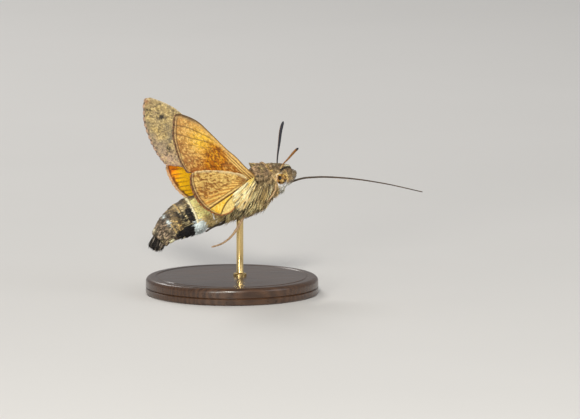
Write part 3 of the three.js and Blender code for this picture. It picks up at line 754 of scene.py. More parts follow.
# Flap markings: pinkish brown mottled with dark and pale, with a thin pale rim at the rear edge
def flapTint(s, w, point):
    fine = grain(point, 0.26, 17)
    return paint(
        mix(pinkGrey, olive, ramp(0.4, 0.8, cloud(point, 0.5, 16))) * 0.9,
        (darkBrown, ramp(0.52, 0.68, fine) * 0.65),
        ((0.66, 0.48, 0.33), ramp(0.54, 0.7, 1 - fine) * 0.4),
        (greyBrown, ramp(0.7, 1.0, w) * 0.7),
        ((0.9, 0.68, 0.5), ramp(0.95, 0.99, s) * fall(0.7, 0.9, w) * 0.85),
    )


def makeFlap(side, seed):
    f, rng = flapSettings, np.random.default_rng(seed)
    s, w = np.meshgrid(np.linspace(0, 1, f["rows"]), np.linspace(0, 1, f["columns"]), indexing="ij")
    outer = flapPoint(side, s, w, f["half"] * (1 - 0.7 * ramp(0.8, 1, s)))
    inner = flapPoint(side, s, w, 0 * s - f["half"])
    rings = np.concatenate([outer, inner[:, ::-1]], 1)
    tint = flapTint(np.concatenate([s, s], 1), np.concatenate([w, w[:, ::-1]], 1), rings)
    newTube(f"shoulder_flap_{side}", rings[:: sides[side]], skinLook, tint[:: sides[side]])
    count, step = f["tufts"], 0.05
    s, w = rng.uniform(0, 0.99, count), rng.uniform(-0.02, 1.02, count)
    level = np.zeros(count)
    root = flapPoint(side, s, w, level + 0.07)
    lie = unit(flapPoint(side, s + step, w, level) - flapPoint(side, s - step, w, level))
    down = unit(flapPoint(side, s, w + step, level) - flapPoint(side, s, w - step, level))
    normal = unit(np.cross(lie, down))
    normal = normal * np.sign(normal @ np.array([0, sides[side], 0.5]))[:, None]
    lie = unit(lie + down * (rng.normal(0.0, 0.16, count) + 1.1 * ramp(0.7, 1.0, w))[:, None])
    length = np.minimum(f["length"] * rng.uniform(0.7, 1.2, count), 3.2 * (1 - s) + 0.16)
    length = length * (1 + 0.7 * ramp(0.75, 1.0, w))
    lift = rng.uniform(0.3, 0.55, count) * (1 - 0.75 * ramp(0.75, 0.95, s))
    pull, clump = clumpPull(root, count // f["perClump"], 0.5, rng)
    lot = lots(clump, rng)
    tint = varied(flapTint(s + 0.1 * length, w, root), 0.24, 0.4, 1.7, rng)
    tint = tint * (1 - 0.6 * ramp(0.62, 0.76, lot) + 0.7 * fall(0.16, 0.3, lot))[:, None]
    width = f["width"] * rng.uniform(0.7, 1.2, count)
    newCoat(f"shoulder_coat_{side}", furLook, root, lie, normal, length, width, (lift, 1), tint,
            np.stack([s, w], 1) * 0.94 + 0.03, downProfile, 0.3, pull)


for side in sides:
    makeFlap(side, 160 + sides[side])
print("shoulder flaps done")

# Wings: outlines as shares of the wing's length, along the span and towards the rear. The root's place,
# camber and tuck are in mm, and rise and spread are angles in degrees.
wingShapes = {
    "fore": {
        "length": 22.06,
        "root": [[-0.04, -0.016], [-0.02, 0.03]],
        "leading": [[-0.04, -0.016], [0.13, -0.02], [0.26, -0.037], [0.38, -0.041], [0.52, -0.055],
                    [0.62, -0.065], [0.78, -0.074], [0.86, -0.062], [0.925, -0.045], [0.97, -0.03], [1, 0]],
        "outer": [[1, 0], [0.985, 0.041], [0.956, 0.079], [0.888, 0.155], [0.807, 0.211], [0.682, 0.277],
                  [0.558, 0.316]],
        "rear": [[-0.02, 0.03], [0.113, 0.086], [0.27, 0.163], [0.45, 0.256], [0.558, 0.316]],
        "at": (3.3, 3.0, 20.7), "rise": 37.4, "spread": 22.55, "camber": 0.35, "tuck": 0.3,
    },
    "hind": {
        "length": 13.35,
        "root": [[-0.04, 0], [-0.01, 0.1]],
        "leading": [[-0.04, 0], [0.06, -0.03], [0.15, -0.075], [0.25, -0.096], [0.36, -0.103], [0.6, -0.098],
                    [0.87, -0.071], [0.96, -0.045], [1, 0]],
        "outer": [[1, 0], [0.989, 0.067], [0.966, 0.131], [0.899, 0.228], [0.809, 0.322], [0.704, 0.39],
                  [0.614, 0.43], [0.502, 0.464], [0.404, 0.476]],
        "rear": [[-0.01, 0.1], [0.12, 0.23], [0.2, 0.34], [0.28, 0.427], [0.404, 0.476]],
        "at": (2.8, 4.45, 19.95), "rise": 10.2, "spread": 20.2, "camber": 0.25, "tuck": 1.35,
    },
}
chords = {("fore", "left"): 1.03, ("fore", "right"): 0.945, ("hind", "left"): 1.0, ("hind", "right"): 1.0}


def heading(rise, spread):
    rise, spread = math.radians(rise), math.radians(spread)
    return np.array([-math.cos(rise) * math.cos(spread), math.sin(spread), math.sin(rise) * math.cos(spread)])


# Path through knots in the wing's own plane
def planPath(knots, shares):
    return pathAt(np.column_stack([knots, np.zeros(len(knots))]), shares)[0][..., :2]


# A wing's outline in its own plane: a patch between its four edges, u from root to margin, v from the leading
# edge to the rear one, as shares of the wing's length
def wingPlan(shape, u, v):
    leading, rear = planPath(shape["leading"], u), planPath(shape["rear"], u)
    root, outer = planPath(shape["root"], v), planPath(shape["outer"], v)
    u, v = u[..., None], v[..., None]
    a, b, c, d = (np.array(shape[edge][end], float) for end in (0, -1) for edge in ("leading", "rear"))
    plan = leading * (1 - v) + rear * v + root * (1 - u) + outer * u
    return plan - a * (1 - u) * (1 - v) - b * (1 - u) * v - c * u * (1 - v) - d * u * v


# From the wing's own plane to the moth: along the span, towards the rear edge and out by height, with the bow
# as a half sine along the span and the root tucked in
def wingPlace(kind, side, plan, height):
    shape = wingShapes[kind]
    spanward, rearward = heading(shape["rise"], shape["spread"]), heading(shape["rise"] - 90, 0)
    outward = unit(np.cross(spanward, rearward))
    outward = outward * np.sign(outward[1])
    x, y = plan[..., :1], plan[..., 1:]
    bow = shape["camber"] * np.sin(math.pi * np.clip(x, 0, 1))
    bow = bow + shape["tuck"] * np.maximum(0, 1 - x / 0.26) ** 2
    place = x * spanward + y * chords[(kind, side)] * rearward
    return (shape["at"] + place * shape["length"] + (height[..., None] - bow) * outward) * flip[side]


# Veins in the wing's own plane, each with how dark it looks and its way from the root to the margin
foreVeins = [
    (0.1, [[0.0, 0.0], [0.25, -0.018], [0.5, -0.03], [0.74, -0.05], [0.86, -0.06]]),
    (0.3, [[0.0, 0.004], [0.25, -0.012], [0.42, -0.022], [0.62, -0.05], [0.8, -0.054], [0.93, -0.042]]),
    (0.15, [[0.42, -0.02], [0.6, -0.04], [0.8, -0.02], [0.975, 0.03]]),
    (0.8, [[0.46, -0.03], [0.6, -0.026], [0.669, -0.013], [0.757, 0.003], [0.832, 0.02], [0.91, 0.055],
           [0.96, 0.078]]),
    (0.8, [[0.44, -0.008], [0.563, 0.01], [0.665, 0.045], [0.738, 0.072], [0.824, 0.097], [0.895, 0.127],
           [0.91, 0.133]]),
    (0.3, [[0.42, 0.045], [0.6, 0.08], [0.72, 0.13], [0.83, 0.198]]),
    (0.35, [[0.4, 0.055], [0.55, 0.12], [0.66, 0.185], [0.74, 0.25]]),
    (0.25, [[0.0, 0.02], [0.25, 0.05], [0.42, 0.1], [0.55, 0.17], [0.65, 0.288]]),
    (0.3, [[0.0, 0.024], [0.2, 0.085], [0.4, 0.18], [0.56, 0.305]]),
    (0.0, [[0.42, -0.008], [0.435, 0.01], [0.43, 0.03], [0.4, 0.055]]),
]
hindVeins = [
    (0.1, [[0.0, 0.02], [0.25, -0.07], [0.55, -0.078], [0.9, -0.05], [0.99, -0.01]]),
    (0.3, [[0.0, 0.03], [0.25, -0.01], [0.45, -0.005], [0.7, 0.02], [0.98, 0.09]]),
    (0.25, [[0.4, 0.03], [0.6, 0.07], [0.8, 0.13], [0.945, 0.17]]),
    (0.3, [[0.38, 0.06], [0.55, 0.13], [0.72, 0.21], [0.87, 0.265]]),
    (0.35, [[0.34, 0.08], [0.5, 0.19], [0.65, 0.285], [0.78, 0.345]]),
    (2.0, [[0.0, 0.05], [0.189, 0.095], [0.33, 0.2], [0.48, 0.313], [0.632, 0.424]]),
    (1.9, [[0.02, 0.075], [0.2, 0.15], [0.32, 0.247], [0.375, 0.329], [0.419, 0.47]]),
    (0.0, [[0.45, -0.005], [0.42, 0.03], [0.38, 0.06], [0.34, 0.08]]),
]


# Distance from points in the wing's plane to the nearest point of a vein
def veinDistance(plan, vein):
    line = planPath(vein, np.linspace(0, 1, 24))
    best = np.full(len(plan), 9.0)
    for start, end in zip(line[:-1], line[1:]):
        along = end - start
        share = np.clip((plan - start) @ along / (along @ along), 0, 1)
        best = np.minimum(best, np.linalg.norm(plan - start - share[:, None] * along, axis=1))
    return best


# Faces of the wings, from points in the wing's plane, as shares of its length and in mm. The fore wing below:
# tan outside, gold in the middle, rich orange-brown towards the root, yellow and dark streaks at the root,
# fine dark and yellow dashes all over.
def foreUnder(plan, flat, u, v):
    x, y = plan.T
    dashes = grain(flat * [0.55, 1, 1], 0.25, 21)
    specks = grain(flat * [0.7, 1, 1], 0.27, 23)
    coarse = cloud(flat, 0.9, 22)
    place = x + 0.15 * y + 0.05 * (coarse - 0.5)
    rich = bell(place, 0.41, 0.13) * ramp(-0.03, 0.008, y) * (1 - 0.4 * ramp(0.12, 0.2, y))
    full = np.clip(rich * 1.5, 0, 1)
    line = y - np.interp(x, [0.03, 0.335], [0.013, -0.018]) + 0.004 * (coarse - 0.5)
    roots = fall(0.24, 0.44, x)
    pale = bell(line, -0.0085, 0.005) + bell(line, 0.0115, 0.0045) + 0.8 * bell(line, 0.029, 0.005)
    dark = bell(line, 0.0015, 0.0033) + 0.8 * bell(line, 0.02, 0.003) + 0.5 * bell(line, 0.038, 0.003)
    return paint(
        mix((0.63, 0.33, 0.095), (0.44, 0.205, 0.06), ramp(0.06, 0.22, y + 0.06 * (coarse - 0.5))),
        ((1.0, 0.6, 0.06), np.clip(bell(x, 0.6, 0.15) * bell(y, 0.03, 0.085) * 1.25, 0, 1)),
        ((0.44, 0.14, 0.004), full * 0.97),
        ((0.36, 0.12, 0.008), fall(0.2, 0.34, x) * ramp(0.02, 0.05, y) * 0.9),
        ((0.15, 0.05, 0.008), ramp(0.5, 0.62, dashes) * (0.42 + 0.38 * full)),
        (mix((0.98, 0.68, 0.22), (0.95, 0.46, 0.02), full), ramp(0.54, 0.66, specks) * 0.58),
        ((0.92, 0.64, 0.2), np.clip(pale, 0, 0.9) * roots),
        ((0.13, 0.05, 0.012), np.clip(dark, 0, 0.9) * roots),
    )


# The fore wing above: grey and tan speckles, small dark spots and two broken dark lines, pinkish at the rear
foreSpots = [((0.804, 0.039), 0.022), ((0.91, 0.047), 0.009), ((0.928, 0.058), 0.009), ((0.947, 0.071), 0.01),
             ((0.612, 0.202), 0.016), ((0.5, -0.015), 0.012)]


def foreUpper(plan, flat, u, v):
    x, y = plan.T
    fine = grain(flat, 0.26, 31)
    pale = grain(flat, 0.24, 33)
    patch = cloud(flat, 1.6, 34)
    wave = 0.012 * np.sin(y * 60) + 0.02 * (patch - 0.5)
    broken = ramp(0.45, 0.65, cloud(flat, 0.5, 35))
    edge = bell(y - wingPlan(wingShapes["fore"], u, 0 * v)[:, 1], 0, 0.006)
    spots = [(spot, size, np.hypot(x - spot[0], (y - spot[1]) * 1.2)) for spot, size in foreSpots]
    return paint(
        mix((0.33, 0.25, 0.13), (0.45, 0.32, 0.11), cloud(flat, 0.8, 32)),
        ((0.48, 0.33, 0.23), ramp(0.14, 0.26, y) * 0.8),
        ((0.80, 0.62, 0.27), ramp(0.54, 0.68, pale) * 0.65),
        ((0.08, 0.06, 0.04), ramp(0.54, 0.68, fine) * 0.75),
        ((0.20, 0.17, 0.12), ramp(0.55, 0.8, patch) * 0.45),
        ((0.07, 0.055, 0.04), bell(x + 0.35 * y, 0.67 + wave, 0.013) * broken * 0.7),
        ((0.07, 0.055, 0.04), bell(x + 0.2 * y, 0.36 + wave, 0.014) * 0.8),
        *[((0.025, 0.02, 0.015), np.clip(1.5 * bell(far, 0, size), 0, 0.92) * ramp(0.3, 0.5, fine + 0.1))
          for spot, size, far in spots],
        ((0.35, 0.16, 0.07), bell(np.hypot(x - 0.985, y - 0.012), 0, 0.03) * 0.8),
        ((0.8, 0.66, 0.42), edge * ramp(0.4, 0.55, fine) * 0.8),
    )


# The hind wing below: tan crossed by fine wavy red-brown lines with yellow specks, a pale leading edge, and
# behind the first fold a yellow wedge and a cream lobe. Above: yellow to orange with short dark rays.
def hindUnder(plan, flat, u, v):
    x, y = plan.T
    radius = np.linalg.norm(flat, axis=1)
    arc = np.arctan2(y, x + 0.05) * radius
    wavy = 0.5 * (cloud(flat, 0.8, 44) - 0.5) * ramp(0.5, 0.1, y)
    lines = grain(np.column_stack([radius * 0.3, arc + wavy, 0 * radius]), 0.25, 41)
    specks = grain(flat, 0.26, 43)
    fold = np.interp(x, [0, 0.189, 0.33, 0.48, 0.632, 0.8], [0.05, 0.095, 0.2, 0.313, 0.424, 0.54])
    beam = 0.5 + 0.5 * np.sin(np.arctan2(y - 0.02, x + 0.08) * 74)
    near = bell(y - fold, -0.1, 0.06) * ramp(0.12, 0.3, x)
    below = ramp(-0.004, 0.012, y - fold)
    wedge = mix((0.90, 0.52, 0.045), (0.98, 0.72, 0.14), ramp(0.45, 0.7, specks))
    second = np.interp(y, [0.075, 0.15, 0.247, 0.329, 0.47], [0.02, 0.2, 0.32, 0.375, 0.419])
    lobe = ramp(-0.004, 0.02, second - x) * below
    pale = bell(y - fold, -0.03, 0.012) * ramp(0.15, 0.25, x) * fall(0.6, 0.75, x)
    edge = bell(y - np.interp(x, [0.06, 0.25, 0.6, 0.9, 1.0], [-0.03, -0.09, -0.095, -0.065, -0.02]), 0, 0.02)
    return paint(
        mix((0.52, 0.30, 0.075), (0.60, 0.27, 0.045), ramp(0.06, 0.3, y)),
        ((0.22, 0.07, 0.012), ramp(0.5, 0.6, lines) * 0.8),
        ((0.98, 0.70, 0.22), ramp(0.54, 0.66, 1 - lines) * 0.42),
        ((0.98, 0.74, 0.25), ramp(0.6, 0.72, specks) * 0.4),
        (mix((0.5, 0.17, 0.02), (1.0, 0.7, 0.18), beam), near * 0.75),
        (wedge, below * 0.95),
        (mix((0.74, 0.54, 0.17), (0.86, 0.68, 0.26), specks), lobe * 0.95),
        ((0.95, 0.70, 0.24), pale * 0.8),
        ((0.14, 0.05, 0.012), bell(y - fold, -0.055, 0.007) * ramp(0.2, 0.32, x) * 0.75),
        ((0.82, 0.66, 0.36), edge * ramp(0.35, 0.55, specks + 0.1) * 0.8),
    )


def hindUpper(plan, flat, u, v):
    x, y = plan.T
    soft = 0.08 * (cloud(flat, 0.4, 51) - 0.5)
    place = x + 0.44 * y - 0.35 * (y - 0.1) + soft
    rays = (0.5 + 0.5 * np.sin(v * 82 + 0.6 * np.sin(v * 19))) ** 8
    return paint(
        mix((1.0, 0.56, 0.0), (0.95, 0.21, 0.0), ramp(0.82, 1.0, place)),
        ((0.16, 0.035, 0.006), rays * ramp(0.76, 0.92, u + soft) * 0.85),
        ((0.10, 0.03, 0.01), ramp(0.95, 0.98, u + 0.4 * soft) * 0.85),
        ((0.9, 0.5, 0.24), ramp(0.988, 0.996, u) * 0.8),
        ((0.25, 0.1, 0.02), fall(0.08, 0.3, x) * 0.8),
    )


wingLooks = {
    "fore": {"veins": foreVeins, "under": foreUnder, "upper": foreUpper, "veinTint": (0.10, 0.045, 0.02),
             "marginTint": (0.06, 0.035, 0.022), "veinWidth": 0.0042, "upperVein": (0.3, 0.24, 0.15),
             "veinStart": (0.4, 0.62), "marginScale": 0.8, "marginWidth": 0.13},
    "hind": {"veins": hindVeins, "under": hindUnder, "upper": hindUpper, "veinTint": (0.07, 0.022, 0.005),
             "marginTint": (0.08, 0.035, 0.018), "veinWidth": 0.0062, "upperVein": (0.7, 0.22, 0.01),
             "veinStart": (0.1, 0.24), "marginScale": 0.9, "marginWidth": 0.2},
}
wingGrid = {"rows": 172, "columns": 104, "half": 0.05, "veinRise": 0.07, "shrinkSpan": 0.988,
            "shrinkChord": 0.992}


# Wing membrane: the scales' tint on each face times a random shade for each cell of a fine grain, whose
# distances are the bump, with a noise in the gloss
def wingMaterial():
    n = Nodes("wing_scales", Sheen_Weight=0.05, Specular_IOR_Level=0.2)
    cells = n.add("TexVoronoi", {"feature": "F1"}, Vector=n.place(), Scale=9000.0, Randomness=1.0)
    shade = n.fit(n.add("SeparateColor", Color=cells.outputs["Color"]).outputs[0], 0.0, 1.0, 0.75, 1.25)
    rough = n.fit(n.noise(4000.0, 3.0), 0.3, 0.7, 0.45, 0.75)
    return n.finish(n.tinted(shade), rough, cells.outputs["Distance"], 0.5, 0.00004)


wingLook = wingMaterial()


# Tint of one face, with its veins, and below with a thin double margin and a banded leading edge
def wingTint(kind, face, plan, u, v, veins):
    shape, look = wingShapes[kind], wingLooks[kind]
    points = plan.reshape(-1, 2)
    flat = np.column_stack([points * shape["length"], np.zeros(len(points))])
    tint = look[face](points, flat, u.ravel(), v.ravel()).reshape(*u.shape, 3)
    if face == "upper":
        return mix(tint, look["upperVein"], veins * 0.3)
    along, inner = plan[..., 0], (1 - u) * shape["length"] * look["marginScale"]
    margin = bell(inner, 0.06, look["marginWidth"]) + 0.8 * bell(inner, 0.5, 0.09)
    tint = paint(
        tint,
        (look["veinTint"], veins * ramp(*look["veinStart"], along)),
        (look["marginTint"], np.clip(margin, 0, 0.92)),
        ((0.6, 0.44, 0.24), bell(inner, 0.3, 0.07) * 0.6),
    )
    if kind == "hind":
        return mix(tint, (0.66, 0.2, 0.04), bell(1 - v, 0, 0.02) * 0.5)
    below = plan[..., 1] - wingPlan(shape, u, 0 * v)[..., 1]
    broad = 0.005 + 0.006 * ramp(0.4, 0.75, along)
    return paint(
        tint,
        ((0.10, 0.065, 0.045), bell(along, 1.0, 0.035) * 0.85),
        ((0.80, 0.52, 0.20), bell(below, 0.02, 0.007) * 0.5),
        ((0.12, 0.07, 0.03), np.clip(bell(below, 0, broad) * 1.2, 0, 0.92)),
        ((0.12, 0.08, 0.05),
         bell(below, 0.012, 0.014) * ramp(0.72, 0.84, along) * fall(0.9, 0.97, along) * 0.6),
    )


# One wing: a grid for each face, joined round the rim, thicker at the veins and at the leading edge
def makeWing(kind, side):
    g, look = wingGrid, wingLooks[kind]
    rows, columns = g["rows"], g["columns"]
    u, v = np.meshgrid(np.linspace(0, 1, rows), np.linspace(0, 1, columns), indexing="ij")
    plan = wingPlan(wingShapes[kind], u * g["shrinkSpan"], v * g["shrinkChord"])
    rise, veins = np.zeros(u.size), np.zeros(u.size)
    for dark, line in look["veins"]:
        distance = veinDistance(plan.reshape(-1, 2), line)
        rise = np.maximum(rise, bell(distance, 0, look["veinWidth"]))
        veins = np.maximum(veins, min(dark, 1.4) * bell(distance, 0, look["veinWidth"] * (0.6 + 0.45 * dark)))
    rise, veins = rise.reshape(u.shape), np.clip(veins, 0, 0.95).reshape(u.shape)
    thick = g["half"] * (1 - 0.6 * np.maximum(ramp(0.97, 1, u), ramp(0.97, 1, v))) + g["veinRise"] * rise
    thick = thick + 0.12 * bell(v, 0, 0.02) * (1 - 0.7 * u)
    points = np.concatenate([wingPlace(kind, side, plan, face * thick).reshape(-1, 3) for face in (1, -1)])
    tints = [wingTint(kind, face, plan, u, v, veins).reshape(-1, 3) for face in ("under", "upper")]
    index = np.arange(u.size).reshape(u.shape)
    border = np.concatenate([index[0], index[1:, -1], index[-1, -2::-1], index[-2:0:-1, 0]])
    ahead = np.roll(border, -1)
    sheet, below = gridFaces(rows, columns, ring=False), u.size
    rim = np.stack([border, border + below, ahead + below, ahead], 1)
    quads = np.concatenate([sheet, sheet[:, ::-1] + below, rim])[:, :: sides[side]]
    shape = (points, quads, np.zeros((0, 3)))
    piece = newPiece(f"wing_{kind}_{side}", shape, wingLook, np.concatenate(tints))
    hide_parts(f"{kind}wing_{side}")


for kind in wingShapes:
    for side in sides:
        makeWing(kind, side)
print("wings done")

# Fringe: small scales side by side along the outer and rear margins, in tufts of changing length. It is seen
# from its thin lower side on the right wings.
fringeSettings = {
    ("fore", "left"): {"length": 0.32, "light": (0.6, 0.4, 0.27), "dark": (0.16, 0.11, 0.08)},
    ("fore", "right"): {"length": 0.2, "light": (0.30, 0.17, 0.09), "dark": (0.07, 0.04, 0.025)},
    ("hind", "left"): {"length": 0.3, "light": (1.0, 0.66, 0.36), "dark": (0.8, 0.38, 0.14)},
    ("hind", "right"): {"length": 0.24, "light": (0.42, 0.17, 0.05), "dark": (0.1, 0.035, 0.015)},
}
fringeCount = 1300


def makeFringe(kind, side, seed):
    s, shape, count = fringeSettings[(kind, side)], wingShapes[kind], fringeCount
    rng = np.random.default_rng(seed)
    margin = np.sort(rng.uniform(0, 1.6, count))
    outer, step = margin < 1, 0.004
    u = np.where(outer, 1.0, 2 - margin) * wingGrid["shrinkSpan"]
    v = np.where(outer, margin, 1.0) * wingGrid["shrinkChord"]
    plan = wingPlan(shape, u, v)
    out = unit(plan - wingPlan(shape, u - step * outer, v - step * ~outer))

    def at(spot, height=0.0):
        return wingPlace(kind, side, spot, np.full(count, height))

    root = at(plan - out * 0.006)
    lie = unit(at(plan + out * 0.01) - root)
    normal = unit(at(plan, 0.3) - at(plan)) * rng.choice([-1, 1], count)[:, None]
    lie = unit(lie + rng.normal(0, 0.12, lie.shape))
    wave = 0.5 + 0.5 * np.sin(margin * 70)
    length = s["length"] * (0.75 + 0.35 * wave) * rng.uniform(0.8, 1.15, count)
    length = length * (1 - 0.5 * ramp(1.1, 1.6, margin))
    dark = ramp(0.55, 0.9, 1 - wave) * 0.85 * fall(1.0, 1.1, margin)
    tint = mix(s["light"], s["dark"], dark) * rng.normal(1, 0.15, count)[:, None]
    width = rng.uniform(0.09, 0.15, count)
    newCoat(f"fringe_{kind}_{side}", fringeLook, root, lie, normal, length + 0.12, width,
            (0.02, 0), tint, plan * 0.4 + 0.3, scaleProfile)


for number, kind in enumerate(wingShapes):
    for side in sides:
        makeFringe(kind, side, 400 + 10 * number + sides[side])
print("fringes done")

# Wing root hair: long pale hair from behind the shoulder flap over the root of the hind wing. It lies between
# three guide lines, of which the upper one follows the wing and the lower one the thorax.
rootHair = {
    "count": 3000, "length": 2.1, "width": 0.13,
    "upper": [[2.9, 4.2, 20.76], [1.36, 4.6, 19.73], [-0.27, 5.4, 18.84], [-1.88, 6.1, 17.94]],
    "middle": [[3.06, 4.25, 20.23], [1.72, 4.6, 18.66], [-0.02, 5.1, 16.68], [-1.62, 5.8, 15.08]],
    "lower": [[3.43, 4.2, 19.6], [2.49, 4.35, 17.9], [1.42, 4.35, 16.0], [0.56, 4.2, 14.44]],
}


def makeRootHair(side, seed):
    h, rng = rootHair, np.random.default_rng(seed)
    count, outward = h["count"], sides[side] * np.array([0, 1, 0])
    share = rng.uniform(0, 1, count) ** 1.25 * 0.62
    low = rng.uniform(0, 1, count)
    w = low[:, None]

    def place(at):
        upper, middle, lower = (pathAt(h[key], at)[0] for key in ("upper", "middle", "lower"))
        flat = upper * (1 - w) * (1 - 2 * w) + middle * 4 * w * (1 - w) + lower * w * (2 * w - 1)
        return flat * flip[side]

    root = place(share) - (0.12 - 0.2 * ramp(0.05, 0.3, share))[:, None] * outward
    lie = unit(place(share + 0.3) - place(share) + rng.normal(0, 0.1, (count, 3)))
    normal = unit(outward - lie * (lie @ outward)[:, None])
    length = h["length"] * rng.uniform(0.6, 1.15, count) * (1 - 0.3 * share)
    lift = rng.uniform(0.05, 0.3, count)
    pull, clump = clumpPull(root, count // 18, 0.85, rng, strandWay)
    lot = lots(clump, rng)
    tint = paint(
        mix((0.82, 0.6, 0.22), (1.0, 0.9, 0.55), ramp(0.1, 0.6, lot)),
        ((0.95, 0.66, 0.14), fall(0.08, 0.2, share) * fall(0.3, 0.6, low) * 0.8),
        (tan, ramp(0.5, 1.0, low) * 0.5),
        ((0.13, 0.08, 0.03), ramp(0.7, 0.78, lot) * (0.7 + 0.3 * low)),
    )
    tint = varied(tint, 0.14, 0.5, 1.5, rng)
    width = h["width"] * rng.uniform(0.7, 1.2, count)
    newCoat(f"wing_root_hair_{side}", hairLook, root, lie, normal, length, width, (lift, 2.2),
            tint, np.column_stack([share, low]) * 0.9 + 0.05, hairProfile, 0.3, pull)


for side in sides:
    makeRootHair(side, 440 + sides[side])
print("wing root hair done")

# Rims of the abdomen's segments: a row of short scales along each rear edge
rimSettings = [
    {"x": -4.35, "tint": white, "count": 130, "angles": (86, 116), "length": 0.26},
    {"x": -7.1, "tint": paleCream, "count": 620, "angles": (8, 104), "length": 0.3},
    {"x": -9.0, "tint": tan, "count": 110, "angles": (0, 55), "length": 0.3},
    {"x": -10.9, "tint": tan, "count": 70, "angles": (64, 104), "length": 0.3},
]


def makeRim(s, number):
    rng, count = np.random.default_rng(450 + number), s["count"]
    angle = np.radians(rng.uniform(*s["angles"], count)) * rng.choice([-1, 1], count)
    x = s["x"] + 0.14 + rng.normal(0, 0.03, count)
    root, normal, backward, downward = bodyFrame(x, angle, depthAt(x) * 0.45)
    lie = unit(backward + downward * rng.normal(0, 0.1, count)[:, None])
    lift = rng.uniform(0.02, 0.2, count)
    tint = s["tint"] * rng.normal(0.95, 0.14, count)[:, None]
    length = s["length"] * rng.uniform(0.7, 1.2, count)
    width = rng.uniform(0.1, 0.16, count)
    newCoat(f"segment_rim_{number}", scaleLook, root, lie, normal, length, width,
            (lift, 1.5), tint, bodyMap(x, angle), scaleProfile)


for number, settings in enumerate(rimSettings):
    makeRim(settings, number + 1)

# Side tufts of the abdomen: long scales from a narrow patch, swept back or hanging
sideTufts = [
    {"name": "waist", "x": -3.55, "spread": 0.08, "angles": (106, 132), "length": 0.8, "count": 120,
     "tint": white, "out": 0.55, "down": 1.2, "fan": 0.16},
    {"name": "white", "x": -6.1, "spread": 0.42, "angles": (98, 140), "length": 2.0, "count": 1300,
     "tint": blueWhite, "out": 0.5, "down": 0.95, "fan": 0.4},
    {"name": "black", "x": -7.8, "spread": 0.5, "angles": (98, 150), "length": 1.8, "count": 1500,
     "tint": black, "out": 0.45, "down": 0.35, "fan": 0.16},
    {"name": "rear", "x": -9.8, "spread": 0.45, "angles": (106, 152), "length": 1.5, "count": 1200,
     "tint": black, "out": 0.36, "down": 0.15, "fan": 0.16},
    {"name": "cream", "x": -9.3, "spread": 0.2, "angles": (146, 174), "length": 1.1, "count": 380,
     "tint": paleCream, "out": 0.62, "down": 0.0, "fan": 0.16},
    {"name": "last", "x": -11.2, "spread": 0.3, "angles": (136, 176), "length": 1.6, "count": 620,
     "tint": paleCream, "out": 0.44, "down": 0.0, "fan": 0.16},
]


def makeSideTuft(s, seed):
    rng, count = np.random.default_rng(seed), s["count"] * 2
    x = s["x"] + rng.normal(0, s["spread"] * 0.6, count)
    angle = np.radians(rng.uniform(*s["angles"], count)) * np.where(np.arange(count) % 2 == 0, 1, -1)
    root, normal, backward, downward = bodyFrame(x, angle, depthAt(x) + 0.05)
    lie = unit(backward + downward * rng.normal(s["down"], s["fan"], count)[:, None])
    length = s["length"] * rng.uniform(0.6, 1.1, count)
    lift = s["out"] * rng.uniform(0.5, 1.25, count)
    pull, clump = clumpPull(root, count // 20, 0.45, rng)
    shade = (0.55 + 0.65 * lots(clump, rng)) * rng.normal(1, 0.12, count)
    width = rng.uniform(0.1, 0.17, count)
    newCoat("side_tuft_" + s["name"], scaleLook, root, lie, normal, length, width,
            (lift, 1.3), s["tint"] * shade[:, None], bodyMap(x, angle), scaleProfile, pull=pull)


for number, settings in enumerate(sideTufts):
    makeSideTuft(settings, 500 + number)
print("side tufts done")

# Tail fan: long blunt scales from a small oval, spread to the sides and slightly up and down
tailSettings = {"root": (-12.65, 0, 10.32), "direction": (-0.5, 0, -0.866), "length": 2.85, "count": 3400,
                "wide": 1.15, "high": 1.25, "spread": 0.5, "lift": -0.04}


def makeTail():
    s, rng = tailSettings, np.random.default_rng(600)
    count = s["count"]
    direction, across = unit(np.array(s["direction"])), np.array([0, 1.0, 0])
    back = np.array([direction[2], 0, -direction[0]])
    radius = np.sqrt(rng.uniform(0, 1, count))
    around = rng.uniform(0, 2 * math.pi, count)
    turn, rise = (radius * np.cos(around))[:, None], (radius * np.sin(around))[:, None]
    root = np.array(s["root"]) + turn * s["wide"] * across + rise * s["high"] * back
    lie = direction + turn * s["spread"] * across + rise * s["lift"] * back
    lie = unit(lie + rng.normal(0, 0.055, lie.shape))
    normal = unit(back * np.where(rise >= 0, 1, -1) + across * turn * 0.4)
    normal = unit(normal - (normal * lie).sum(1)[:, None] * lie)
    pull, clump = clumpPull(root, count // 22, 0.5, rng)
    lot = lots(clump, rng)
    length = s["length"] * (1 - 0.16 * turn[:, 0] ** 2) * rng.uniform(0.3, 1.0, count) ** 0.6
    length = length * (0.72 + 0.34 * lot)
    shade = lots(clump, rng) + rng.normal(0, 0.1, count)
    tint = mix((0.015, 0.012, 0.010), (0.11, 0.09, 0.07), ramp(0.45, 0.7, shade))
    tint = varied(mix(tint, (0.62, 0.52, 0.4), ramp(0.82, 0.93, shade) * 0.85), 0.2, 0.3, 2, rng)
    width = rng.uniform(0.12, 0.2, count)
    piece = newCoat("tail_scales", scaleLook, root, lie, normal, length, width, (0.03, 3),
                    tint, 0.5 + 0.4 * np.hstack([turn, rise]), scaleProfile, pull=pull)
    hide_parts("tail_fan")


makeTail()
print("tail done")

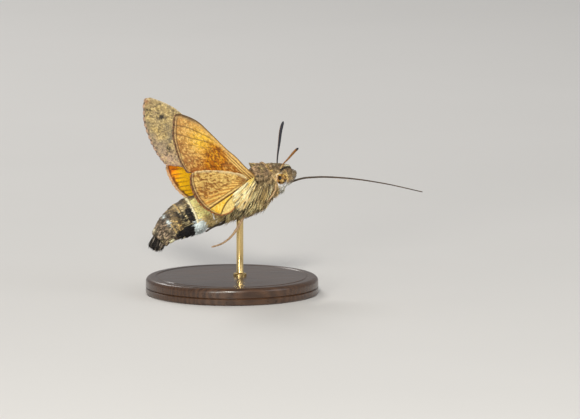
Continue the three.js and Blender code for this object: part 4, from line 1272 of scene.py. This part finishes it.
# Eyes: a ball with painted markings as seen from the moth's side: a black spot near the middle, a second one
# low at the rear, a dark arc at the lower front, golden arcs above and between, and a pale rim behind
eyeMarks = [
    {"at": (-0.85, 0.05), "size": (0.2, 0.8), "tint": (0.8, 0.56, 0.34)},
    {"at": (-0.28, 0.75), "size": (0.3, 0.16), "tint": (0.8, 0.5, 0.13)},
    {"at": (0.3, -0.4), "size": (0.2, 0.3), "tint": (0.5, 0.33, 0.1)},
    {"at": (0.4, 0.5), "size": (0.22, 0.2), "tint": (0.6, 0.36, 0.1)},
    {"at": (0.72, -0.25), "size": (0.14, 0.3), "tint": (0.03, 0.02, 0.012)},
    {"at": (0.5, -0.72), "size": (0.25, 0.12), "tint": (0.03, 0.02, 0.012)},
    {"at": (-0.6, -0.3), "size": (0.15, 0.46), "tint": (0.4, 0.19, 0.045)},
    {"at": (-0.36, -0.66), "size": (0.2, 0.2), "tint": (0.012, 0.01, 0.008)},
    {"at": (-0.26, 0.12), "size": (0.36, 0.48), "tint": (0.006, 0.005, 0.005)},
]


# Eye: the marks' own tint times a noise, with tiny facets as bump, under a thin clear coat
def eyeMaterial():
    n = Nodes("eye_facets", Roughness=0.36, Coat_Weight=0.05, Coat_Roughness=0.1, Specular_IOR_Level=0.15)
    mottle = n.fit(n.noise(5200.0, 4.0), 0.35, 0.65, 0.6, 1.3)
    facets = n.add("TexVoronoi", {"feature": "F1"}, Vector=n.place(), Scale=16000.0).outputs["Distance"]
    return n.finish(n.tinted(mottle), height=facets, strength=0.2, distance=0.00002)


eyeLook = eyeMaterial()


def makeEye(side):
    s = eyeSettings
    rise, turn = np.meshgrid(np.radians(np.linspace(-89.5, 89.5, s["rows"])), circle(s["columns"]),
                             indexing="ij")
    ball = np.stack([np.cos(rise) * np.cos(turn), np.cos(rise) * np.sin(turn), np.sin(rise)], -1)
    facing = ball * [1, -sides[side], 1]
    forward, upward = facing @ np.array([0.97, -0.242, 0]), facing @ np.array([0.034, 0.135, 0.99])
    tint = mix((0.18, 0.09, 0.025), (0.48, 0.28, 0.08), ramp(0.4, 0.65, grain(ball, 0.3, 91)))
    for mark in eyeMarks:
        wide, high = mark["size"]
        far = np.hypot((forward - mark["at"][0]) / wide, (upward - mark["at"][1]) / high)
        tint = mix(tint, mark["tint"], fall(0.7, 1.15, far + 0.3 * (cloud(ball, 0.2, 92) - 0.5)) * 0.95)
    piece = newTube(f"eye_ball_{side}", ball * s["radius"] + s["centre"] * flip[side], eyeLook, tint)
    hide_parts(f"eye_{side}")


for side in sides:
    makeEye(side)


# Roots, directions and normals of tufts on a tube, one on each ring, with the columns where they sit
def tuftsOnTube(knots, shares, rings, stray, rng):
    column = rng.integers(0, rings.shape[1], len(shares))
    root = rings[np.arange(len(shares)), column]
    lie = unit(pathAt(knots, shares)[1] + rng.normal(0, stray, root.shape))
    rootMap = np.stack([shares, column / rings.shape[1]], 1) * 0.95 + 0.02
    return root, lie, unit(root - rings.mean(1)), rootMap


# Palps: two blunt upturned feelers that make the snout
palpSettings = {"path": [[9.3, 0.85, 18.75], [10.0, 0.88, 19.4], [10.55, 0.82, 20.15], [11.0, 0.72, 21.05]],
                "radius": 0.64, "rings": 30, "columns": 28, "tufts": 2600}


def palpRings(knots, shares, inset):
    s = palpSettings
    size = s["radius"] * np.sqrt(np.maximum(0.03, 1 - np.abs(2 * shares - 1) ** 3.2)) - inset
    return ringsAlong(knots, shares, size, size * 1.35, s["columns"], (0, 1, 0))


# Palp markings: mottled grey and brown, with a white underside
def palpTint(point):
    low = fall(18.8, 19.3, point[..., 2]) * fall(10.2, 10.6, point[..., 0])
    return paint(
        mix(greyBrown, smoke, ramp(0.35, 0.65, grain(point, 0.3, 61))),
        ((0.62, 0.52, 0.42), ramp(0.55, 0.72, grain(point, 0.22, 62)) * 0.6),
        ((0.85, 0.6, 0.25), fall(10.1, 10.6, point[..., 0]) * ramp(19.3, 19.8, point[..., 2]) * 0.5),
        (white, low),
    )


def makePalp(side, seed):
    s, rng = palpSettings, np.random.default_rng(seed)
    knots, count = s["path"] * flip[side], s["tufts"]
    rings = palpRings(knots, np.linspace(0, 1, s["rings"]), 0.12)
    skin = newTube(f"palp_skin_{side}", rings, skinLook, palpTint(rings))
    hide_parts(f"palp_{side}")
    shares = rng.uniform(0.02, 0.98, count)
    root, lie, normal, rootMap = tuftsOnTube(knots, shares, palpRings(knots, shares, 0.14), 0.14, rng)
    length, width = rng.uniform(0.25, 0.45, count), rng.uniform(0.06, 0.1, count)
    tint = varied(palpTint(root), 0.26, 0.4, 1.8, rng)
    newCoat(f"palp_coat_{side}", furLook, root, lie, normal, length, width, (0.4, 1.2), tint,
            rootMap, downProfile, 0.3)


for side in sides:
    makePalp(side, 700 + sides[side])
print("head parts done")

# Antennae: ringed clubs that thicken towards a hooked tip
antennaSettings = {
    "left": {"path": [[8.35, 1.05, 21.2], [8.45, 1.5, 22.6], [8.95, 2.1, 25.6], [9.6, 2.8, 28.6],
                      [9.95, 3.05, 29.45]],
             "radius": 0.12, "club": 0.28},
    "right": {"path": [[8.2, -1.05, 21.2], [8.55, -1.75, 22.35], [9.2, -3.4, 23.7], [9.95, -5.9, 25.5],
                       [10.15, -6.9, 26]],
              "radius": 0.1, "club": 0.22},
    "rings": 62, "columns": 22,
}


def makeAntenna(side):
    s, count = antennaSettings[side], antennaSettings["rings"]
    shares = np.linspace(0, 1, count * 5 + 1)
    size = (s["radius"] + (s["club"] - s["radius"]) * ramp(0.12, 0.8, shares)) * bluntEnd(shares, 0.88)
    size = size * (1 - 0.09 * np.abs(np.sin(shares * count * math.pi)) ** 6)
    rings = ringsAlong(s["path"], shares, size, size, antennaSettings["columns"], (1, 0, 0))
    middle = pathAt(s["path"], shares)[0][:, None, 1]
    outward = (rings[..., 1] - middle) * sides[side] / np.maximum(size[:, None], 0.01)
    along = shares[:, None]
    dark = np.clip(fall(-0.6, 0.1, outward) + ramp(0.86, 0.97, along), 0, 1)
    tint = paint(
        mix((0.32, 0.13, 0.018), (0.012, 0.013, 0.022), dark),
        ((0.14, 0.06, 0.012), ramp(0.3, 0.8, along) * ramp(0.3, 0.9, outward) * 0.6),
        ((0.8, 0.6, 0.26), fall(0.1, 0.26, along) * ramp(-0.6, 0.2, outward)),
    )
    piece = newTube(f"antenna_club_{side}", rings, hornLook, tint)
    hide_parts(f"antenna_{side}")


# Tongue: two half tubes side by side, with fine rings
tongueSettings = {
    "path": [[9.9, 0, 18.9], [11, 0, 19.3], [12.5, 0, 19.7], [15, 0, 19.85], [20, 0, 19.55], [27, 0, 18.4],
             [34.3, 0, 16.6]],
    "radius": 0.24, "tip": 0.12, "rings": 190, "columns": 20,
}


def makeTongue():
    s = tongueSettings
    shares = np.linspace(0, 1, s["rings"] * 3 + 1)
    size = (s["radius"] + (s["tip"] - s["radius"]) * ramp(0, 1, shares)) * bluntEnd(shares, 0.985, 0.05)
    size = size * (1 - 0.06 * np.abs(np.sin(shares * s["rings"] * math.pi)) ** 4)
    rings = ringsAlong(s["path"], shares, size, size * 0.8, s["columns"], (0, 0, 1))
    middle = pathAt(s["path"], shares)[0][:, None]
    across = (rings - middle)[..., 1:2] / np.maximum(size[:, None, None], 0.01)
    rings = middle + (rings - middle) * (1 - 0.28 * bell(across, 0, 0.3))
    tint = mix((0.10, 0.06, 0.03), (0.03, 0.02, 0.014), cloud(rings, 0.5, 71))
    piece = newTube("tongue", rings, hornLook, tint)
    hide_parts("proboscis")


for side in sides:
    makeAntenna(side)
makeTongue()
print("antennae and tongue done")

# Legs: thin tubes, thicker at each joint, with small scales. All but the hanging one lie along the body.
hangingLeg = [[2.1, -1.7, 14.4], [1.1, -1.75, 12.6], [0.3, -1.8, 11.3], [-0.8, -1.8, 9.99],
              [-2.24, -1.85, 9.04], [-4.14, -1.95, 8.5]]
# The rear legs' near-black tint is their colour darkened by painted shade, for the shadow line along the
# belly
legSettings = {"radius": 0.26, "tip": 0.15, "joints": [0.2, 0.42, 0.6, 0.7, 0.79, 0.87, 0.94], "rings": 150,
               "columns": 16, "scales": 420,
               "tints": {"front": (0.62, 0.42, 0.22), "middle": (0.4, 0.26, 0.14),
                         "rear": (0.06, 0.045, 0.03)},
               "sizes": {"front": 0.72, "middle": 1, "rear": 1}}


def makeLeg(pair, side, seed):
    s, rng = legSettings, np.random.default_rng(seed)
    knots = foldedKnots(pair, side) if (pair, side) != ("middle", "right") else hangingLeg
    shares = np.linspace(0, 1, s["rings"])
    size = (s["radius"] + (s["tip"] - s["radius"]) * ramp(0.3, 0.95, shares)) * s["sizes"][pair]
    for joint in s["joints"]:
        size = size * (1 + 0.18 * bell(shares, joint, 0.012) - 0.12 * bell(shares, joint + 0.018, 0.008))
    size = size * bluntEnd(shares, 0.98)
    rings = ringsAlong(knots, shares, size * 0.8, size, s["columns"], (0, 1, 0))
    base = np.array(s["tints"][pair])
    tint = mix(base, base * 1.3, cloud(rings, 0.4, 81))
    piece = newTube(f"leg_{pair}_shaft_{side}", rings, hornLook, tint)
    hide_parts(f"leg_{pair}_{side}")
    count = s["scales"]
    at = rng.uniform(0.02, 0.97, count)
    size = np.interp(at, shares, size)
    rings = ringsAlong(knots, at, size * 0.75, size * 0.95, s["columns"], (0, 1, 0))
    root, lie, normal, rootMap = tuftsOnTube(knots, at, rings, 0.1, rng)
    length, width = rng.uniform(0.16, 0.3, count), rng.uniform(0.05, 0.08, count)
    lift = rng.uniform(0.1, 0.35, count)
    tint = base * rng.uniform(0.8, 1.35, count)[:, None]
    newCoat(f"leg_{pair}_scales_{side}", scaleLook, root, lie, normal, length, width, (lift, 0.8),
            tint, rootMap, downProfile, 0.3)


for number, pair in enumerate(("front", "middle", "rear")):
    for side in sides:
        makeLeg(pair, side, 800 + 10 * number + sides[side])
print("legs done")

# Stand: a turned wooden disc with a rounded shoulder, and a brass rod with a small collar
standSettings = {"radius": 15.0, "height": 3.0, "round": 0.8, "foot": 0.25, "discColumns": 180, "rodX": 1.4,
                 "rodRadius": 0.6, "rodTop": 14.4, "collar": 1.15, "rodColumns": 60}


# Turned shape: a profile of radius and height carried round the upright through x
def turned(profile, columns, x):
    radius, height = np.array(profile).T[..., None]
    angle = circle(columns)
    return np.stack([radius * np.cos(angle) + x, radius * np.sin(angle), height + 0 * angle], -1)


# Dark wood: bands along the grain, bent by a noise, plus stretched pores and soft clouds, all between two
# browns, with the pores also in gloss and bump, under a lacquer coat
def woodMaterial():
    n = Nodes("dark_wood", Coat_Weight=0.35, Coat_Roughness=0.18)
    bands = n.add("TexWave", {"wave_type": "BANDS", "bands_direction": "Y"},
                  Vector=n.stretched((0.1, 1, 0.5)), Scale=520.0, Distortion=9.0, Detail=4.0,
                  Detail_Scale=1.2).outputs["Fac"]
    pores = n.noise(3200.0, 4.0, n.stretched((0.05, 1, 0.4)))
    clouds = n.noise(160.0, 3.0, n.stretched((0.3, 1, 1)))
    figure = n.math("ADD", n.math("MULTIPLY", bands, 0.3), n.math("MULTIPLY", pores, 0.55))
    figure = n.math("ADD", figure, n.math("MULTIPLY", clouds, 0.4))
    colour = n.blend(n.fit(figure, 0.35, 0.95), (0.030, 0.013, 0.006, 1), (0.10, 0.046, 0.020, 1))
    return n.finish(colour, n.fit(pores, 0.3, 0.7, 0.25, 0.42), pores, 0.12, 0.00004)


# Brass: metal between two yellows by a noise stretched round the rod, also in gloss and bump
def brassMaterial():
    n = Nodes("brass", Metallic=1.0)
    brushed = n.noise(3000.0, 3.0, n.stretched((1, 1, 0.03)))
    colour = n.blend(n.fit(brushed, 0.3, 0.7), (0.66, 0.46, 0.18, 1), (0.8, 0.6, 0.28, 1))
    return n.finish(colour, n.fit(brushed, 0.3, 0.7, 0.18, 0.34), brushed, 0.1, 0.00002)


def makeStand():
    s = standSettings
    radius, height, foot = s["radius"], s["height"], s["foot"]
    under = [(0.3, 0), (radius - foot - 1, 0), (radius - foot, 0), (radius, foot), (radius, foot + 0.1),
             (radius, 1.05), (radius - 0.18, 1.2), (radius, 1.35)]
    bend = np.radians(np.linspace(0, 90, 12))
    edge = [(radius + s["round"] * (math.cos(a) - 1), height + s["round"] * (math.sin(a) - 1)) for a in bend]
    top = [(radius - 1.6, height), (radius - 1.75, height - 0.12), (radius - 2.0, height - 0.12),
           (radius - 2.15, height), (8.0, height), (0.3, height)]
    base = newTube("stand_disc", turned(under + edge + top, s["discColumns"], 0), woodMaterial())
    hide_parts("stand_base")
    r, collar = s["rodRadius"], s["collar"]
    rod = [(0.1, height - 0.05), (collar, height - 0.05), (collar, height + 0.35),
           (collar - 0.12, height + 0.5), (r + 0.12, height + 0.55), (r, height + 0.75), (r, 8.0),
           (r, s["rodTop"]), (0.1, s["rodTop"])]
    piece = newTube("stand_stem", turned(rod, s["rodColumns"], s["rodX"]), brassMaterial())
    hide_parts("stand_rod")
    for made in (base, piece):
        made.data.set_sharp_from_angle(angle=math.radians(35))


makeStand()
print("stand done")

# Floor, light and camera
studio = {"floorRadius": 3.0, "floorCorners": 96, "worldLight": 0.33, "aim": (0.002, 0, 0.017)}
lamps = [
    {"name": "key", "at": (-0.2, -0.62, 0.4), "size": 0.14, "power": 3.3, "colour": (1.0, 0.96, 0.88)},
    {"name": "low", "at": (-0.42, -0.6, 0.16), "size": 0.2, "power": 1.3, "colour": (1.0, 0.97, 0.9)},
    {"name": "fill", "at": (0.5, -0.4, 0.3), "size": 0.4, "power": 0.7, "colour": (0.93, 0.96, 1.0)},
    {"name": "back", "at": (-0.15, 0.5, 0.5), "size": 0.3, "power": 1.6, "colour": (1.0, 0.98, 0.95)},
]


# Floor: matt paper between two pale greys by a broad noise
def makeFloor():
    angle = circle(studio["floorCorners"])
    ring = np.stack([np.cos(angle), np.sin(angle), 0 * angle], -1) * studio["floorRadius"]
    mesh = bpy.data.meshes.new("floor")
    mesh.from_pydata([tuple(point) for point in ring], [], [list(range(len(ring)))])
    n = Nodes("floor_paper", Roughness=0.9)
    mesh.materials.append(n.finish(n.blend(n.noise(12.0, 3.0), (0.70, 0.69, 0.675, 1),
                                           (0.74, 0.73, 0.715, 1))))
    floor = addObject("floor", mesh)


def makeStudio():
    world = bpy.data.worlds.new("studio")
    bpy.context.scene.world = world
    world.use_nodes = True
    background = world.node_tree.nodes["Background"]
    background.inputs["Color"].default_value = (1.0, 1.0, 1.0, 1)
    background.inputs["Strength"].default_value = studio["worldLight"]
    for lamp in lamps:
        data = bpy.data.lights.new(lamp["name"], "AREA")
        data.shape = "DISK"
        data.size = lamp["size"]
        data.energy = lamp["power"]
        data.color = lamp["colour"]
        light = addObject(lamp["name"], data)
        light.location = lamp["at"]
        way = Vector(studio["aim"]) - Vector(lamp["at"])
        light.rotation_euler = way.to_track_quat("-Z", "Y").to_euler()
    bpy.context.scene.view_settings.view_transform = "Standard"


# The camera looks along the photo's viewing angle, and its lens gives the photo's scale at the moth
cameraSettings = {"turn": -14.0, "rise": 8.0, "distance": 1.2, "pixelsPerMm": 5.76, "width": 580,
                  "height": 419, "originPixel": (232.0, 293.2), "focus": (0.0, 0.0, 17.0), "sensor": 36.0}


def makeCamera():
    s = cameraSettings
    turn, rise, scale = math.radians(s["turn"]), math.radians(s["rise"]), s["pixelsPerMm"]
    back = Vector((math.sin(turn) * math.cos(rise), -math.cos(turn) * math.cos(rise), math.sin(rise)))
    right = Vector((math.cos(turn), math.sin(turn), 0))
    up = back.cross(right)
    focus, (pixelX, pixelY) = Vector(s["focus"]), s["originPixel"]
    shiftRight = (s["width"] / 2 - pixelX) / scale - focus.dot(right)
    shiftUp = (pixelY - s["height"] / 2) / scale - focus.dot(up)
    data = bpy.data.cameras.new("camera")
    data.sensor_width = s["sensor"]
    data.lens = s["sensor"] * s["distance"] / (s["width"] / scale * mm)
    data.clip_start = 0.01
    camera = addObject("camera", data)
    camera.location = (focus + right * shiftRight + up * shiftUp) * mm + back * s["distance"]
    camera.rotation_euler = back.to_track_quat("Z", "Y").to_euler()
    bpy.context.scene.camera = camera


makeFloor()
makeStudio()
makeCamera()
print("studio done")
